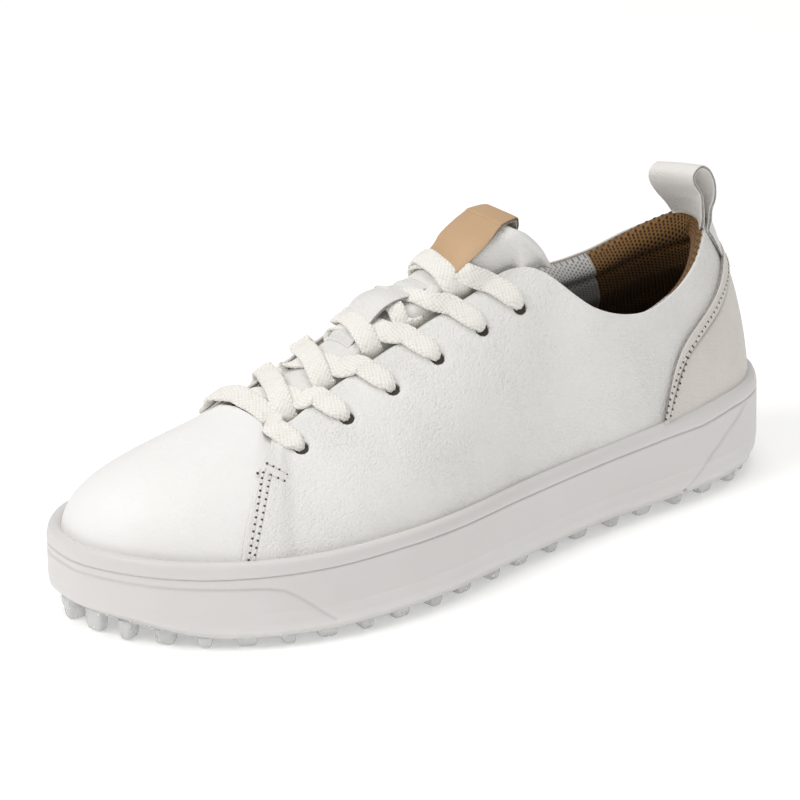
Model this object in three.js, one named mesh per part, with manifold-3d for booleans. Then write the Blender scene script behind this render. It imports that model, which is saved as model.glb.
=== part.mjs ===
// Left golf shoe: leather upper on a cupsole with a lugged outsole, flat laces in six rows,
// a tongue with a hinged top and a pull tab whose loop swings at the heel.
// Millimetres. The shoe is drawn with +X from heel to toe, +Y to its outer side and +Z up,
// z = 0 at the ground. The last lines put the origin under the middle of its box.
import * as THREE from 'three';
import { mergeVertices } from 'three/addons/utils/BufferGeometryUtils.js';
import Module from 'manifold-3d';

const wasm = await Module();
wasm.setup();

// ---- driving dimensions ----
const GAP = 0.3;
const WALL_BOTTOM = 5.5;
const WALL_TOP = 35;
const HEEL_LIP_RISE = 4.5;
const CUP_FLOOR = 22.3;
const PLATE_THICKNESS = 2;
const PLATE_INSET = 2.6;
const LUG_LENGTH = 8;
const LUG_WIDTH = 5;
const LUG_PITCH = 18.5;
const FEATHER_Z = 24;
const LEATHER = 1.2;
const BACKING_OUT = -1.5;
const BACKING_IN = -2.4;
const LINING_OUT = -2.7;
const LINING_IN = -3.5;
const OVERLAY_IN = GAP;
const OVERLAY_OUT = OVERLAY_IN + LEATHER;
const COLLAR_PAD = 5;
const U_PITCH = 0.5;
const V_PITCH = 0.125;
const EYELET_RADIUS = 3.3;
const EYELET_V = 0.8;
const LACE_WIDTH = 8;
const LACE_THICKNESS = 1.6;
const AGLET_LENGTH = 18;
const TAB_THICKNESS = 1.6;
const TAB_WIDTH = 19;
const LACE_ROWS = [0.6, 1.8, 2.85, 3.9, 4.95, 6.05];

// Outline of the sole at its widest, clockwise from the back of the heel.
const SOLE_OUTLINE = [
  [-3.5, 0], [0.5, 17], [12.5, 31.5], [34, 39.5], [65, 42], [100, 44], [140, 50.5], [178, 58],
  [208, 59.5], [238, 55.5], [266, 42.5], [288, 22], [301, -3], [302.5, -22], [298, -36], [284, -48],
  [262, -53.5], [235, -54.5], [203, -50.5], [168, -43], [133, -38.5], [98, -37.5], [63, -38.5],
  [33, -37], [12, -30], [0.5, -16.5],
];

// Ribs of the upper, one station each, clockwise from the back of the heel: the foot of the rib
// x and y, its top x, y and z, the lower handle's lean and rise, the upper handle's pull and drop.
const RIBS = [
  [1, 0, 14, 0, 97.5, 0, 32, 0.75, 20],
  [5, 16, 19, 9, 95.5, 0, 32, 0.7, 20],
  [17.5, 29.5, 33, 20.5, 89.5, 0, 28, 0.6, 18],
  [39, 36, 50, 28, 83.5, 0.5, 24, 0.5, 18],
  [67, 38.5, 70, 32.5, 81.3, 1.5, 22, 0.4, 20],
  [95, 40, 91, 31.5, 88.5, 2, 24, 0.35, 20],
  [117, 42.5, 107, 20, 103.7, 3, 28, 0.35, 22],
  [130, 44.5, 117, 13, 105.3, 3, 30, 0.5, 17],
  [146, 47.5, 134, 12, 101, 3, 29, 0.55, 16],
  [166, 52, 156, 12, 95, 3, 27, 0.58, 14],
  [186, 54.5, 177, 12, 88, 3, 25, 0.6, 13],
  [206, 55, 198, 12, 81, 3, 22, 0.6, 11],
  [224, 53.5, 215, 12, 74, 3, 20, 0.6, 9],
  [242, 48.5, 229, 12, 67.2, 3, 19, 0.6, 5],
  [262, 38, 236, 8, 70.3, 4, 20, 0.62, 2],
  [281, 20.5, 239, 3, 71.5, 4, 24, 0.62, 0],
  [294, 0, 240.5, -2, 72, 4, 26, 0.62, 0],
  [297.5, -19, 241, -6, 72, 3.5, 27, 0.62, 0],
  [292.5, -34, 241, -9, 72, 4, 26, 0.62, 0],
  [276, -44.5, 239, -12, 71.7, 4, 23, 0.62, 1],
  [255, -49, 233, -13, 72.5, 4, 22, 0.6, 5],
  [230, -49, 221, -13.5, 76, 3, 24, 0.6, 9],
  [206, -46, 203, -13.5, 82, 3, 26, 0.6, 12],
  [184, -42, 182, -13.5, 88.8, 3, 28, 0.58, 14],
  [164, -39, 160, -13.5, 96, 3, 30, 0.55, 16],
  [146, -37, 139, -13.5, 102, 3, 31, 0.5, 17],
  [130, -35.5, 120, -14.5, 106.5, 3, 31, 0.45, 18],
  [114, -34.5, 107, -20, 104.7, 3, 30, 0.35, 20],
  [92, -33.5, 91, -29, 90, 2, 26, 0.2, 22],
  [66, -35, 70, -31.5, 82.5, 1.5, 24, 0.4, 20],
  [39, -33.5, 50, -28, 84, 0.5, 26, 0.5, 20],
  [17.5, -27.5, 33, -20.5, 90, 0, 30, 0.6, 20],
  [5, -15, 19, -9, 95.5, 0, 32, 0.7, 20],
];
const RIB_COUNT = RIBS.length;
const THROAT_OUTER = 13;
const THROAT_INNER = 20;

// ---- shared geometry ----
const vec = (x, y, z) => new THREE.Vector3(x, y, z);
const clamp01 = (t) => Math.min(1, Math.max(0, t));
const smooth = (t) => clamp01(t) ** 2 * (3 - 2 * clamp01(t));
const range = (n) => Array.from({ length: n }, (_, i) => i);

function loop(points) {
  return new THREE.CatmullRomCurve3(points, true, 'catmullrom', 0.5);
}

function line(points) {
  return new THREE.CatmullRomCurve3(points, false, 'catmullrom', 0.5);
}

function orientOut(geometry) {
  const p = geometry.getAttribute('position').array;
  const index = geometry.index.array;
  let volume = 0;
  for (let k = 0; k < index.length; k += 3) {
    const [a, b, c] = [0, 1, 2].map((m) => vec(...p.slice(index[k + m] * 3, index[k + m] * 3 + 3)));
    volume += a.dot(b.cross(c));
  }
  if (volume < 0) {
    for (let k = 0; k < index.length; k += 3) {
      [index[k], index[k + 1]] = [index[k + 1], index[k]];
    }
  }
  return geometry;
}

function fromPoints(points, triangles) {
  const geometry = new THREE.BufferGeometry();
  geometry.setAttribute('position', new THREE.Float32BufferAttribute(points.flatMap((q) => q.toArray()), 3));
  geometry.setIndex(triangles);
  return orientOut(geometry);
}

// A closed sheet between two grids of points, low(i, j) and high(i, j), with ni by nj cells.
function sheet(ni, nj, low, high) {
  const points = [];
  const triangles = [];
  const at = (side, i, j) => side * (ni + 1) * (nj + 1) + i * (nj + 1) + j;
  const quad = (a, b, c, d) => triangles.push(a, b, c, a, c, d);
  for (const side of [low, high]) {
    for (let i = 0; i <= ni; i += 1) {
      for (let j = 0; j <= nj; j += 1) points.push(side(i, j));
    }
  }
  for (let i = 0; i < ni; i += 1) {
    for (let j = 0; j < nj; j += 1) {
      quad(at(0, i, j), at(0, i, j + 1), at(0, i + 1, j + 1), at(0, i + 1, j));
      quad(at(1, i, j), at(1, i + 1, j), at(1, i + 1, j + 1), at(1, i, j + 1));
    }
    quad(at(0, i, 0), at(0, i + 1, 0), at(1, i + 1, 0), at(1, i, 0));
    quad(at(0, i, nj), at(1, i, nj), at(1, i + 1, nj), at(0, i + 1, nj));
  }
  for (let j = 0; j < nj; j += 1) {
    quad(at(0, 0, j), at(1, 0, j), at(1, 0, j + 1), at(0, 0, j + 1));
    quad(at(0, ni, j), at(0, ni, j + 1), at(1, ni, j + 1), at(1, ni, j));
  }
  return fromPoints(points, triangles);
}

// A closed body through rings of equal count, with its two end rings filled.
function ringStack(layers) {
  const flat = (ring) => ring.map((q) => new THREE.Vector2(q.x, q.y));
  const turned = THREE.ShapeUtils.area(flat(layers[0])) < 0;
  const rings = turned ? layers.map((ring) => ring.slice().reverse()) : layers;
  const n = rings[0].length;
  const triangles = [];
  for (let k = 0; k + 1 < rings.length; k += 1) {
    for (let i = 0; i < n; i += 1) {
      const a = k * n + i;
      const b = k * n + ((i + 1) % n);
      triangles.push(a, b, b + n, a, b + n, a + n);
    }
  }
  const last = (rings.length - 1) * n;
  const fill = (ring) => THREE.ShapeUtils.triangulateShape(flat(ring), []);
  for (const [a, b, c] of fill(rings[0])) triangles.push(a, c, b);
  for (const [a, b, c] of fill(rings[rings.length - 1])) triangles.push(last + a, last + b, last + c);
  return fromPoints(rings.flat(), triangles);
}

// A closed body through convex sections of equal count, capped with fans.
function sweep(sections) {
  const n = sections[0].length;
  const triangles = [];
  for (let k = 0; k + 1 < sections.length; k += 1) {
    for (let i = 0; i < n; i += 1) {
      const a = k * n + i;
      const b = k * n + ((i + 1) % n);
      triangles.push(a, b, b + n, a, b + n, a + n);
    }
  }
  const last = (sections.length - 1) * n;
  for (let i = 1; i + 1 < n; i += 1) {
    triangles.push(0, i + 1, i);
    triangles.push(last, last + i, last + i + 1);
  }
  return fromPoints(sections.flat(), triangles);
}

function solid(geometry) {
  const bare = geometry.clone();
  for (const name of Object.keys(bare.attributes)) {
    if (name !== 'position') bare.deleteAttribute(name);
  }
  const merged = mergeVertices(bare, 1e-4);
  const vertProperties = new Float32Array(merged.getAttribute('position').array);
  const triVerts = new Uint32Array(merged.index.array);
  return new wasm.Manifold(new wasm.Mesh({ numProp: 3, vertProperties, triVerts }));
}

function toGeometry(body) {
  const mesh = body.getMesh();
  const geometry = new THREE.BufferGeometry();
  geometry.setAttribute('position', new THREE.Float32BufferAttribute(mesh.vertProperties, 3));
  geometry.setIndex([...mesh.triVerts]);
  return geometry;
}

// ---- the surface of the upper: u counts ribs round the shoe, v runs from the sole to the top ----
const ribFeet = RIBS.map(([x, y]) => vec(x, y, FEATHER_Z));
const ribTops = RIBS.map((rib) => vec(rib[2], rib[3], rib[4]));
const ribLow = RIBS.map((rib, i) => {
  const before = ribFeet[(i + RIB_COUNT - 1) % RIB_COUNT];
  const after = ribFeet[(i + 1) % RIB_COUNT];
  const along = after.clone().sub(before).normalize();
  return ribFeet[i].clone().add(vec(-along.y * rib[5], along.x * rib[5], rib[6]));
});
const ribHigh = RIBS.map((rib, i) => {
  const reach = ribFeet[i].clone().sub(ribTops[i]).multiplyScalar(rib[7]);
  return ribTops[i].clone().add(vec(reach.x, reach.y, -rib[8]));
});
const ribCurves = [ribFeet, ribLow, ribHigh, ribTops].map(loop);

function skinPoint(u, v) {
  const t = (((u % RIB_COUNT) + RIB_COUNT) % RIB_COUNT) / RIB_COUNT;
  const [a, b, c, d] = ribCurves.map((curve) => curve.getPoint(t));
  return new THREE.CubicBezierCurve3(a, b, c, d).getPoint(v);
}

function skinNormal(u, v) {
  const step = 0.02;
  const low = Math.max(0, v - step);
  const high = Math.min(1, v + step);
  const up = skinPoint(u, high).sub(skinPoint(u, low));
  const along = skinPoint(u + step, v).sub(skinPoint(u - step, v));
  return up.cross(along).normalize();
}

function skinAt(u, v, height) {
  return skinPoint(u, v).addScaledVector(skinNormal(u, v), height);
}

// A panel of the upper: place(a, b) gives u and v for a and b from 0 to 1.
function panel(ni, nj, place, inner, outer) {
  const at = (height) => (i, j) => {
    const [u, v] = place(i / ni, j / nj);
    return skinAt(u, v, typeof height === 'function' ? height(u, v) : height);
  };
  return sheet(ni, nj, at(inner), at(outer));
}

// The same kind of panel between fixed limits, cut along lines that every layer shares.
function lines(low, high, pitch) {
  const inside = range(Math.ceil(high / pitch) - Math.floor(low / pitch))
    .map((i) => (Math.floor(low / pitch) + 1 + i) * pitch)
    .filter((x) => x > low + 0.2 * pitch && x < high - 0.2 * pitch);
  return [low, ...inside, high];
}

function layer(from, to, bottom, top, inner, outer) {
  const us = lines(from, to, U_PITCH);
  const vs = lines(bottom, top, V_PITCH);
  const at = (height) => (i, j) => {
    return skinAt(us[i], vs[j], typeof height === 'function' ? height(us[i], vs[j]) : height);
  };
  return sheet(us.length - 1, vs.length - 1, at(inner), at(outer));
}

const lerp = (a, b, t) => a + (b - a) * t;
const fromHeel = (u) => Math.min(Math.abs(u), Math.abs(RIB_COUNT - u));

// Front seams, where each quarter laps over the vamp, and the lift that the lap gives the quarter.
const seamOuter = (v) => 14 - 0.45 * v ** 2 - 0.5 * v ** 6;
const seamInner = (v) => 19.65 + 0.12 * v ** 2 + 0.25 * v ** 6;
const LAP = 0.5;
const liftOuter = (u, v) => OVERLAY_OUT * smooth((u - seamOuter(v) + LAP + 0.45) / 0.4);
const liftInner = (u, v) => OVERLAY_OUT * smooth((seamInner(v) + LAP + 0.45 - u) / 0.4);

// Top edge of the heel panel: level round the back, then falling steeply to the sole.
const HEEL_PANEL_REACH = 3.97;
const heelPanelTop = (u) => 0.8 - 0.07 * (u / 2.6) ** 2 - 0.62 * (Math.abs(u) / HEEL_PANEL_REACH) ** 14;

const collarFade = (u) => 1 - smooth((fromHeel(u) - 4) / 1.5);
const collarRoll = (v) => smooth((v - 0.58) / 0.22) - 0.85 * smooth((v - 0.86) / 0.13);
const collarPad = (u, v) => COLLAR_PAD * collarFade(u) * collarRoll(v);
const legPocket = (u, v) => 1.9 * (1 - smooth((fromHeel(u) - 1.2) / 0.4)) * smooth((v - 0.78) / 0.06);

// ---- sole ----
const outlineCurve = loop(SOLE_OUTLINE.map(([x, y]) => vec(x, y, 0)));
const OUTLINE_STEPS = 2 * SOLE_OUTLINE.length;

function outline(inset, z) {
  return range(OUTLINE_STEPS).map((i) => {
    const t = i / OUTLINE_STEPS;
    const along = outlineCurve.getTangent(t);
    const lift = HEEL_LIP_RISE * smooth((110 - outlineCurve.getPoint(t).x) / 100);
    const rise = lift * clamp01((z - 20) / 10);
    return outlineCurve.getPoint(t).add(vec(along.y * inset, -along.x * inset, z + rise));
  });
}

// Outer face of whatever leather touches the cup's lip.
function lipSkin(u) {
  const heel = 1 - smooth((fromHeel(u) - HEEL_PANEL_REACH - 0.1) / 0.3);
  const outerLap = smooth((u - seamOuter(0) + 1.25) / 0.3) * (1 - smooth((u - seamOuter(0) - 0.1) / 0.3));
  const innerLap = smooth((seamInner(0) + 1.25 - u) / 0.3) * (1 - smooth((seamInner(0) - 0.1 - u) / 0.3));
  return OVERLAY_OUT * Math.max(heel, outerLap, innerLap);
}

function footprint(v, height, z) {
  return range(2 * RIB_COUNT).map((i) => {
    const u = i / 2;
    const point = skinAt(u, v, typeof height === 'function' ? height(u) : height);
    return z === undefined ? point : point.setZ(z);
  });
}

function midsoleCup() {
  const levels = [
    [2.4, WALL_BOTTOM], [0.5, 9], [0, 15], [0, 28], [0.9, 29], [0.2, 30.4], [0.7, 33], [2.6, WALL_TOP],
  ];
  const block = solid(ringStack(levels.map(([inset, z]) => outline(inset, z))));
  const clear = (u) => lipSkin(u) + 2 * GAP;
  const rings = [footprint(0, clear, CUP_FLOOR)];
  for (const v of [0, 0.125, 0.3]) rings.push(footprint(v, clear));
  const pocket = ringStack([
    outline(PLATE_INSET - GAP, WALL_BOTTOM - 1),
    outline(PLATE_INSET - GAP, WALL_BOTTOM + PLATE_THICKNESS + GAP),
  ]);
  return toGeometry(block.subtract(solid(ringStack(rings))).subtract(solid(pocket)));
}

// Width of the sole across X at one place, as the y of its two sides.
function sidesAt(x) {
  const dense = outlineCurve.getPoints(600);
  const near = dense.filter((q) => Math.abs(q.x - x) < 1.5);
  return [Math.min(...near.map((q) => q.y)), Math.max(...near.map((q) => q.y))];
}

function lug(x, y, turn) {
  const height = WALL_BOTTOM + 0.1;
  const frustum = new THREE.CylinderGeometry(Math.SQRT1_2, Math.SQRT1_2 * 0.72, height, 4);
  frustum.rotateY(Math.PI / 4);
  frustum.scale(LUG_LENGTH, 1, LUG_WIDTH);
  frustum.rotateX(Math.PI / 2);
  frustum.rotateZ(turn);
  frustum.translate(x, y, height / 2);
  return solid(frustum);
}

function outsole() {
  const plate = ringStack([
    outline(PLATE_INSET, WALL_BOTTOM),
    outline(PLATE_INSET, WALL_BOTTOM + PLATE_THICKNESS),
  ]);
  let body = solid(plate);
  const rows = 16;
  for (let row = 0; row < rows; row += 1) {
    const x = 10 + row * LUG_PITCH;
    const [low, high] = sidesAt(x);
    const margin = PLATE_INSET + 4.6;
    const count = Math.max(2, Math.round((high - low - 2 * margin) / LUG_PITCH) + 1);
    for (let k = 0; k < count; k += 1) {
      const y = lerp(low + margin, high - margin, k / (count - 1));
      const turn = ((row + k) % 2) * Math.PI / 2 + (row % 3) * 0.15;
      body = body.add(lug(x, y, turn));
    }
  }
  return toGeometry(body);
}

function strobelBoard() {
  return ringStack([footprint(0, -GAP, CUP_FLOOR + GAP), footprint(0, -GAP, FEATHER_Z - GAP)]);
}

function sockliner() {
  const edge = LINING_IN - 0.6;
  return ringStack([
    footprint(0, edge, FEATHER_Z),
    footprint(0.06, edge, FEATHER_Z + 5),
    footprint(0.06, edge - 2, FEATHER_Z + 5),
    footprint(0.06, edge - 10, FEATHER_Z + 3),
  ]);
}

// ---- panels of the upper ----
function punch(geometry, stations) {
  let body = solid(geometry);
  for (const u of stations) {
    const centre = skinAt(u, EYELET_V, LINING_OUT / 2);
    const hole = new THREE.CylinderGeometry(EYELET_RADIUS, EYELET_RADIUS, 12, 8);
    const turn = new THREE.Quaternion().setFromUnitVectors(vec(0, 1, 0), skinNormal(u, EYELET_V));
    hole.applyQuaternion(turn);
    hole.translate(centre.x, centre.y, centre.z);
    body = body.subtract(solid(hole));
  }
  return toGeometry(body);
}

const eyeletsOuter = LACE_ROWS.map((s) => THROAT_OUTER - s);
const eyeletsInner = LACE_ROWS.map((s) => THROAT_INNER + s);
const HEEL_SEAM_GAP = 0.02;

function vamp() {
  const place = (a, b) => [lerp(seamOuter(b) - LAP, seamInner(b) + LAP, a), b];
  return panel(14, 8, place, -LEATHER, 0);
}

function quarterOuter() {
  const place = (a, b) => [lerp(HEEL_SEAM_GAP, seamOuter(b), a), b];
  const top = (u, v) => liftOuter(u, v);
  const shell = panel(28, 8, place, (u, v) => top(u, v) - LEATHER, top);
  return punch(shell, eyeletsOuter);
}

function quarterInner() {
  const place = (a, b) => [lerp(seamInner(b), RIB_COUNT - HEEL_SEAM_GAP, a), b];
  const top = (u, v) => liftInner(u, v);
  const shell = panel(27, 8, place, (u, v) => top(u, v) - LEATHER, top);
  return punch(shell, eyeletsInner);
}

function heelPanel() {
  const place = (a, b) => {
    const even = 2 * a - 1;
    const u = HEEL_PANEL_REACH * lerp(even, Math.sin(even * Math.PI / 2), 0.8);
    return [u, b * heelPanelTop(u)];
  };
  return panel(22, 6, place, OVERLAY_IN + 0.1, OVERLAY_OUT + 0.1);
}

function toePuff() {
  const place = (a, b) => [lerp(seamOuter(b) - LAP, seamInner(b) + LAP, lerp(2 / 14, 12 / 14, a)), b / 2];
  return panel(10, 4, place, BACKING_IN + 0.2, BACKING_OUT);
}

function backing(from, to, low, high) {
  return layer(from, to, low, high, BACKING_IN, BACKING_OUT);
}

function collarFoam() {
  const outer = (u, v) => BACKING_OUT - 0.1 - legPocket(u, v);
  const inner = (u, v) => BACKING_IN - Math.max(collarPad(u, v), legPocket(u, v));
  return layer(-6.5, 6.5, 0.625, 0.97, inner, outer);
}

function lining(from, to) {
  const pad = (u, v) => Math.max(collarPad(u, v), legPocket(u, v));
  const outer = (u, v) => LINING_OUT - pad(u, v);
  return layer(from, to, 0, 0.98, (u, v) => outer(u, v) + LINING_IN - LINING_OUT, outer);
}

// ---- tongue: s counts ribs back from the throat, w runs across from the outer to the inner side ----
const TONGUE_CENTRE = [
  [250, -5, 66], [234, -3, 68.6], [218, -1.5, 75.5], [200, -1, 83.5], [180, -1, 91.5],
  [158, -1, 98.5], [140, -1, 106], [125, -1, 115], [114.5, -1, 121.5], [107.5, -1, 124],
];
const TONGUE_DEPTH = -6.1;
const FLAP_ROWS = [
  [[105, 13, 99], [107, 12.5, 107], [110.5, 9.5, 115.5]],
  [[98, 16, 104], [100, 15, 112], [104, 10.5, 119.5]],
];

function tongueControlRow(k) {
  const centre = vec(...TONGUE_CENTRE[k]);
  const s = k - 1;
  if (k > 7) {
    const outer = FLAP_ROWS[k - 8].map((q) => vec(...q));
    const inner = outer.map((q) => vec(q.x, -2 - q.y, q.z)).reverse();
    return [...outer, centre, ...inner];
  }
  if (k === 0) {
    const under = [[13.75, 0.7], [14.3, 0.84], [15.3, 0.92]];
    const underInner = [[17.9, 0.92], [18.7, 0.84], [19.4, 0.7]];
    const drop = ([u, v]) => skinAt(u, v, -5);
    return [...under.map(drop), centre, ...underInner.map(drop)];
  }
  const side = (u) => [0.7, 0.85, 1].map((v) => skinAt(u, v, TONGUE_DEPTH));
  return [...side(THROAT_OUTER - s), centre, ...side(THROAT_INNER + s).reverse()];
}

const tongueColumns = range(7).map((c) => line(TONGUE_CENTRE.map((_, k) => tongueControlRow(k)[c])));

function tonguePoint(s, w) {
  const t = (s + 1) / (TONGUE_CENTRE.length - 1);
  return line(tongueColumns.map((column) => column.getPoint(clamp01(t)))).getPoint(clamp01(w));
}

function tongueAt(s, w, height) {
  const step = 0.03;
  const across = tonguePoint(s, Math.min(1, w + step)).sub(tonguePoint(s, Math.max(0, w - step)));
  const along = tonguePoint(s + step, w).sub(tonguePoint(s - step, w));
  return tonguePoint(s, w).addScaledVector(along.cross(across).normalize(), height);
}

function tongueLayer(from, to, low, high, side = [0, 1], cells = [7, 12]) {
  const at = (height) => (i, j) => {
    const s = lerp(from, to, i / cells[0]);
    return tongueAt(s, lerp(side[0], side[1], j / cells[1]), typeof height === 'function' ? height(s) : height);
  };
  return sheet(cells[0], cells[1], at(low), at(high));
}

const FLAP_START = 6.2;
const TONGUE_END = 5.98;
const KEEPER = [4.02, 4.98];
const keeperArch = (s) => GAP + 6.4 * Math.sin(Math.PI * clamp01((s - KEEPER[0]) / (KEEPER[1] - KEEPER[0]))) ** 0.5;

function laceKeeper() {
  return tongueLayer(KEEPER[0], KEEPER[1], keeperArch, (s) => keeperArch(s) + 1.2, [0.43, 0.57], [12, 3]);
}

function tongueLabel() {
  const stand = (s) => GAP + 0.9 * Math.sin(Math.PI * clamp01((s - 6.25) / 1.45));
  return tongueLayer(6.25, 7.7, stand, (s) => stand(s) + 1.4, [0.39, 0.61], [6, 4]);
}

// ---- pull tab: k runs across the strip from -1 to 1 ----
const TAB_REACH = 1.02;

function tabLeg(low, high, height) {
  const at = (h) => (i, j) => skinAt(lerp(-TAB_REACH, TAB_REACH, j / 4), lerp(low, high, i / 4), h);
  return sheet(4, 4, at(height - TAB_THICKNESS / 2), at(height + TAB_THICKNESS / 2));
}

// Side view of the loop as x and z, from the foot of its back strand over the top to the front one.
const LOOP_SIDE = [
  [13.4, 99.6], [14.6, 103.5], [15.4, 108], [16.9, 114], [19.6, 119.3], [23.5, 121.6], [27, 119.4],
  [26.8, 115.5], [23.3, 110.3], [19.6, 104.8], [17.3, 99.8],
];

function tabLoop() {
  const path = line(LOOP_SIDE.map(([x, z]) => vec(x, 0, z)));
  const cells = 30;
  const at = (offset) => (i, j) => {
    const centre = path.getPoint(i / cells);
    const along = path.getTangent(i / cells);
    const across = (j / 2 - 1) * TAB_WIDTH / 2;
    const bow = 0.035 * across ** 2 * (1 - 0.7 * smooth((centre.z - 99) / 14));
    return vec(centre.x + along.z * offset + bow, across, centre.z - along.x * offset);
  };
  return sheet(cells, 4, at(-TAB_THICKNESS / 2), at(TAB_THICKNESS / 2));
}

// ---- lace: each stop holds its centre, the direction of its width, its width and its thickness ----
const UNDER = -4.75;
const OVER = 1.25;

function stop(centre, side, width = LACE_WIDTH, thickness = LACE_THICKNESS) {
  return { centre, side, width, thickness };
}

function onSkin(u, v, height, width, thickness) {
  const along = skinPoint(u + 0.05, v).sub(skinPoint(u - 0.05, v)).normalize();
  const inside = u > THROAT_OUTER + 3;
  const lift = height > 0 ? (inside ? liftInner(u, v) : liftOuter(u, v)) : 0;
  return stop(skinAt(u, v, height + lift), inside ? along.negate() : along, width, thickness);
}

function onTongue(s, w, height, towards, width) {
  const step = 0.02;
  const across = tonguePoint(s, w + step).sub(tonguePoint(s, w - step)).multiplyScalar(towards);
  const back = tonguePoint(s + step, w).sub(tonguePoint(s - step, w));
  const slope = across.clone().setLength(1).addScaledVector(back.clone().setLength(1), 0.55);
  const normal = back.clone().cross(across);
  return stop(tongueAt(s, w, height), normal.cross(slope).normalize(), width);
}

// Down through an eyelet: from the outer face to below the lining, or the other way.
function throughEyelet(u) {
  return [
    onSkin(u, 0.89, OVER, 7), onSkin(u, 0.832, 1.2, 4.2, 1.6), onSkin(u, EYELET_V, -0.9, 3, 1.7),
    onSkin(u, EYELET_V, -3, 3, 1.7),
  ];
}

function belowEyelet(u) {
  return [onSkin(u, 0.835, UNDER - 0.35, 4.4), onSkin(u, 0.9, UNDER, 7), onSkin(u, 1, UNDER - 0.1)];
}

// One crossing from eyelet row k on one side to row k + 1 on the other.
function crossing(k, outward) {
  const [near, far] = outward ? [eyeletsInner, eyeletsOuter] : [eyeletsOuter, eyeletsInner];
  const [from, to] = [LACE_ROWS[k], LACE_ROWS[k + 1]];
  const across = (w) => (outward ? 1 - w : w);
  const towards = outward ? -1 : 1;
  const middle = outward ? 1.8 : 4.1;
  const kept = k === 3;
  const width = kept ? 6 : LACE_WIDTH;
  const squeeze = kept ? 0.4 : 1;
  const centre = (from + to) / 2;
  const at = (w, height) => {
    const reach = (w - 0.5) / 0.34;
    return onTongue(centre + reach * (to - from) * squeeze, across(w), height, towards, width);
  };
  return [
    ...belowEyelet(near[k]), at(0.39, 1.7), at(0.43, middle), at(0.5, middle), at(0.57, middle),
    at(0.62, 8), onSkin(far[k + 1], 0.99, OVER + 2.2), ...throughEyelet(far[k + 1]),
  ];
}

function bar() {
  const s = LACE_ROWS[0];
  const at = (w, height) => {
    const back = tonguePoint(s + 0.02, w).sub(tonguePoint(s - 0.02, w)).normalize();
    return stop(tongueAt(s, w, height), back);
  };
  const over = [at(0.4, 8), at(0.45, 3.8), at(0.5, 2), at(0.55, 3.8), at(0.6, 8)];
  const side = (u) => [...throughEyelet(u).reverse(), onSkin(u, 0.99, OVER + 2)];
  return [...side(eyeletsOuter[0]), ...over, ...side(eyeletsInner[0]).reverse()];
}

// Inside the shoe each end runs down the wall and then forward along it.
function tuckedEnd(u, forward) {
  const wall = [
    [0, 0.775, -4.5, 4.8], [0, 0.71, UNDER, 7], [0, 0.6, UNDER - 0.2, 8], [0, 0.5, UNDER - 0.2, 8],
    [0.06, 0.42, UNDER - 0.2, 8], [0.25, 0.35, UNDER - 0.2, 8], [0.6, 0.305, UNDER - 0.2, 8],
    [1.1, 0.285, UNDER - 0.2, 8], [1.8, 0.28, UNDER - 0.2, 8], [2.6, 0.28, UNDER - 0.2, 8],
    [3, 0.28, UNDER - 0.7, 7], [3.3, 0.28, UNDER - 1.3, 3.2],
  ];
  return wall.map(([ahead, v, height, width], i) => {
    const place = (n) => skinAt(u + forward * wall[n][0], wall[n][1], wall[n][2]);
    const [a, b] = [Math.max(0, i - 1), Math.min(wall.length - 1, i + 1)];
    const along = place(b).sub(place(a));
    const normal = skinNormal(u + forward * ahead, v);
    return stop(place(i), along.cross(normal).normalize(), width);
  });
}

function laceRoute(outer) {
  const stops = [];
  for (let k = 0; k < LACE_ROWS.length - 1; k += 1) {
    const outward = (k % 2 === 0) !== outer;
    stops.push(...crossing(k, outward));
  }
  const endOuter = (LACE_ROWS.length - 1) % 2 === 0 ? outer : !outer;
  const u = (endOuter ? eyeletsOuter : eyeletsInner)[LACE_ROWS.length - 1];
  return [...stops, ...tuckedEnd(u, endOuter ? 1 : -1)];
}

function laceSections(stops) {
  let side = stops[0].side.clone();
  return stops.map((item, i) => {
    const before = stops[Math.max(0, i - 1)].centre;
    const after = stops[Math.min(stops.length - 1, i + 1)].centre;
    const along = after.clone().sub(before).normalize();
    const flat = item.side.clone().addScaledVector(along, -item.side.dot(along)).normalize();
    if (flat.dot(side) < 0) flat.negate();
    side = flat;
    const normal = along.clone().cross(flat);
    const [half, thin] = [item.width / 2, item.thickness / 2];
    const corner = (a, b) => item.centre.clone().addScaledVector(flat, a).addScaledVector(normal, b);
    const lip = half - 0.5;
    return [
      corner(half, 0), corner(lip, thin), corner(-lip, thin), corner(-half, 0), corner(-lip, -thin),
      corner(lip, -thin),
    ];
  });
}

const routeOuter = laceRoute(true);
const routeInner = laceRoute(false);
const laceStops = [...routeOuter.slice().reverse(), ...bar(), ...routeInner];

function aglet(stops) {
  const end = stops[stops.length - 1];
  const along = end.centre.clone().sub(stops[stops.length - 2].centre).normalize();
  const barrel = new THREE.CylinderGeometry(1.5, 1.5, AGLET_LENGTH, 10);
  barrel.applyQuaternion(new THREE.Quaternion().setFromUnitVectors(vec(0, 1, 0), along));
  const centre = end.centre.clone().addScaledVector(along, AGLET_LENGTH / 2 + GAP);
  barrel.translate(centre.x, centre.y, centre.z);
  return barrel;
}

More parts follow.
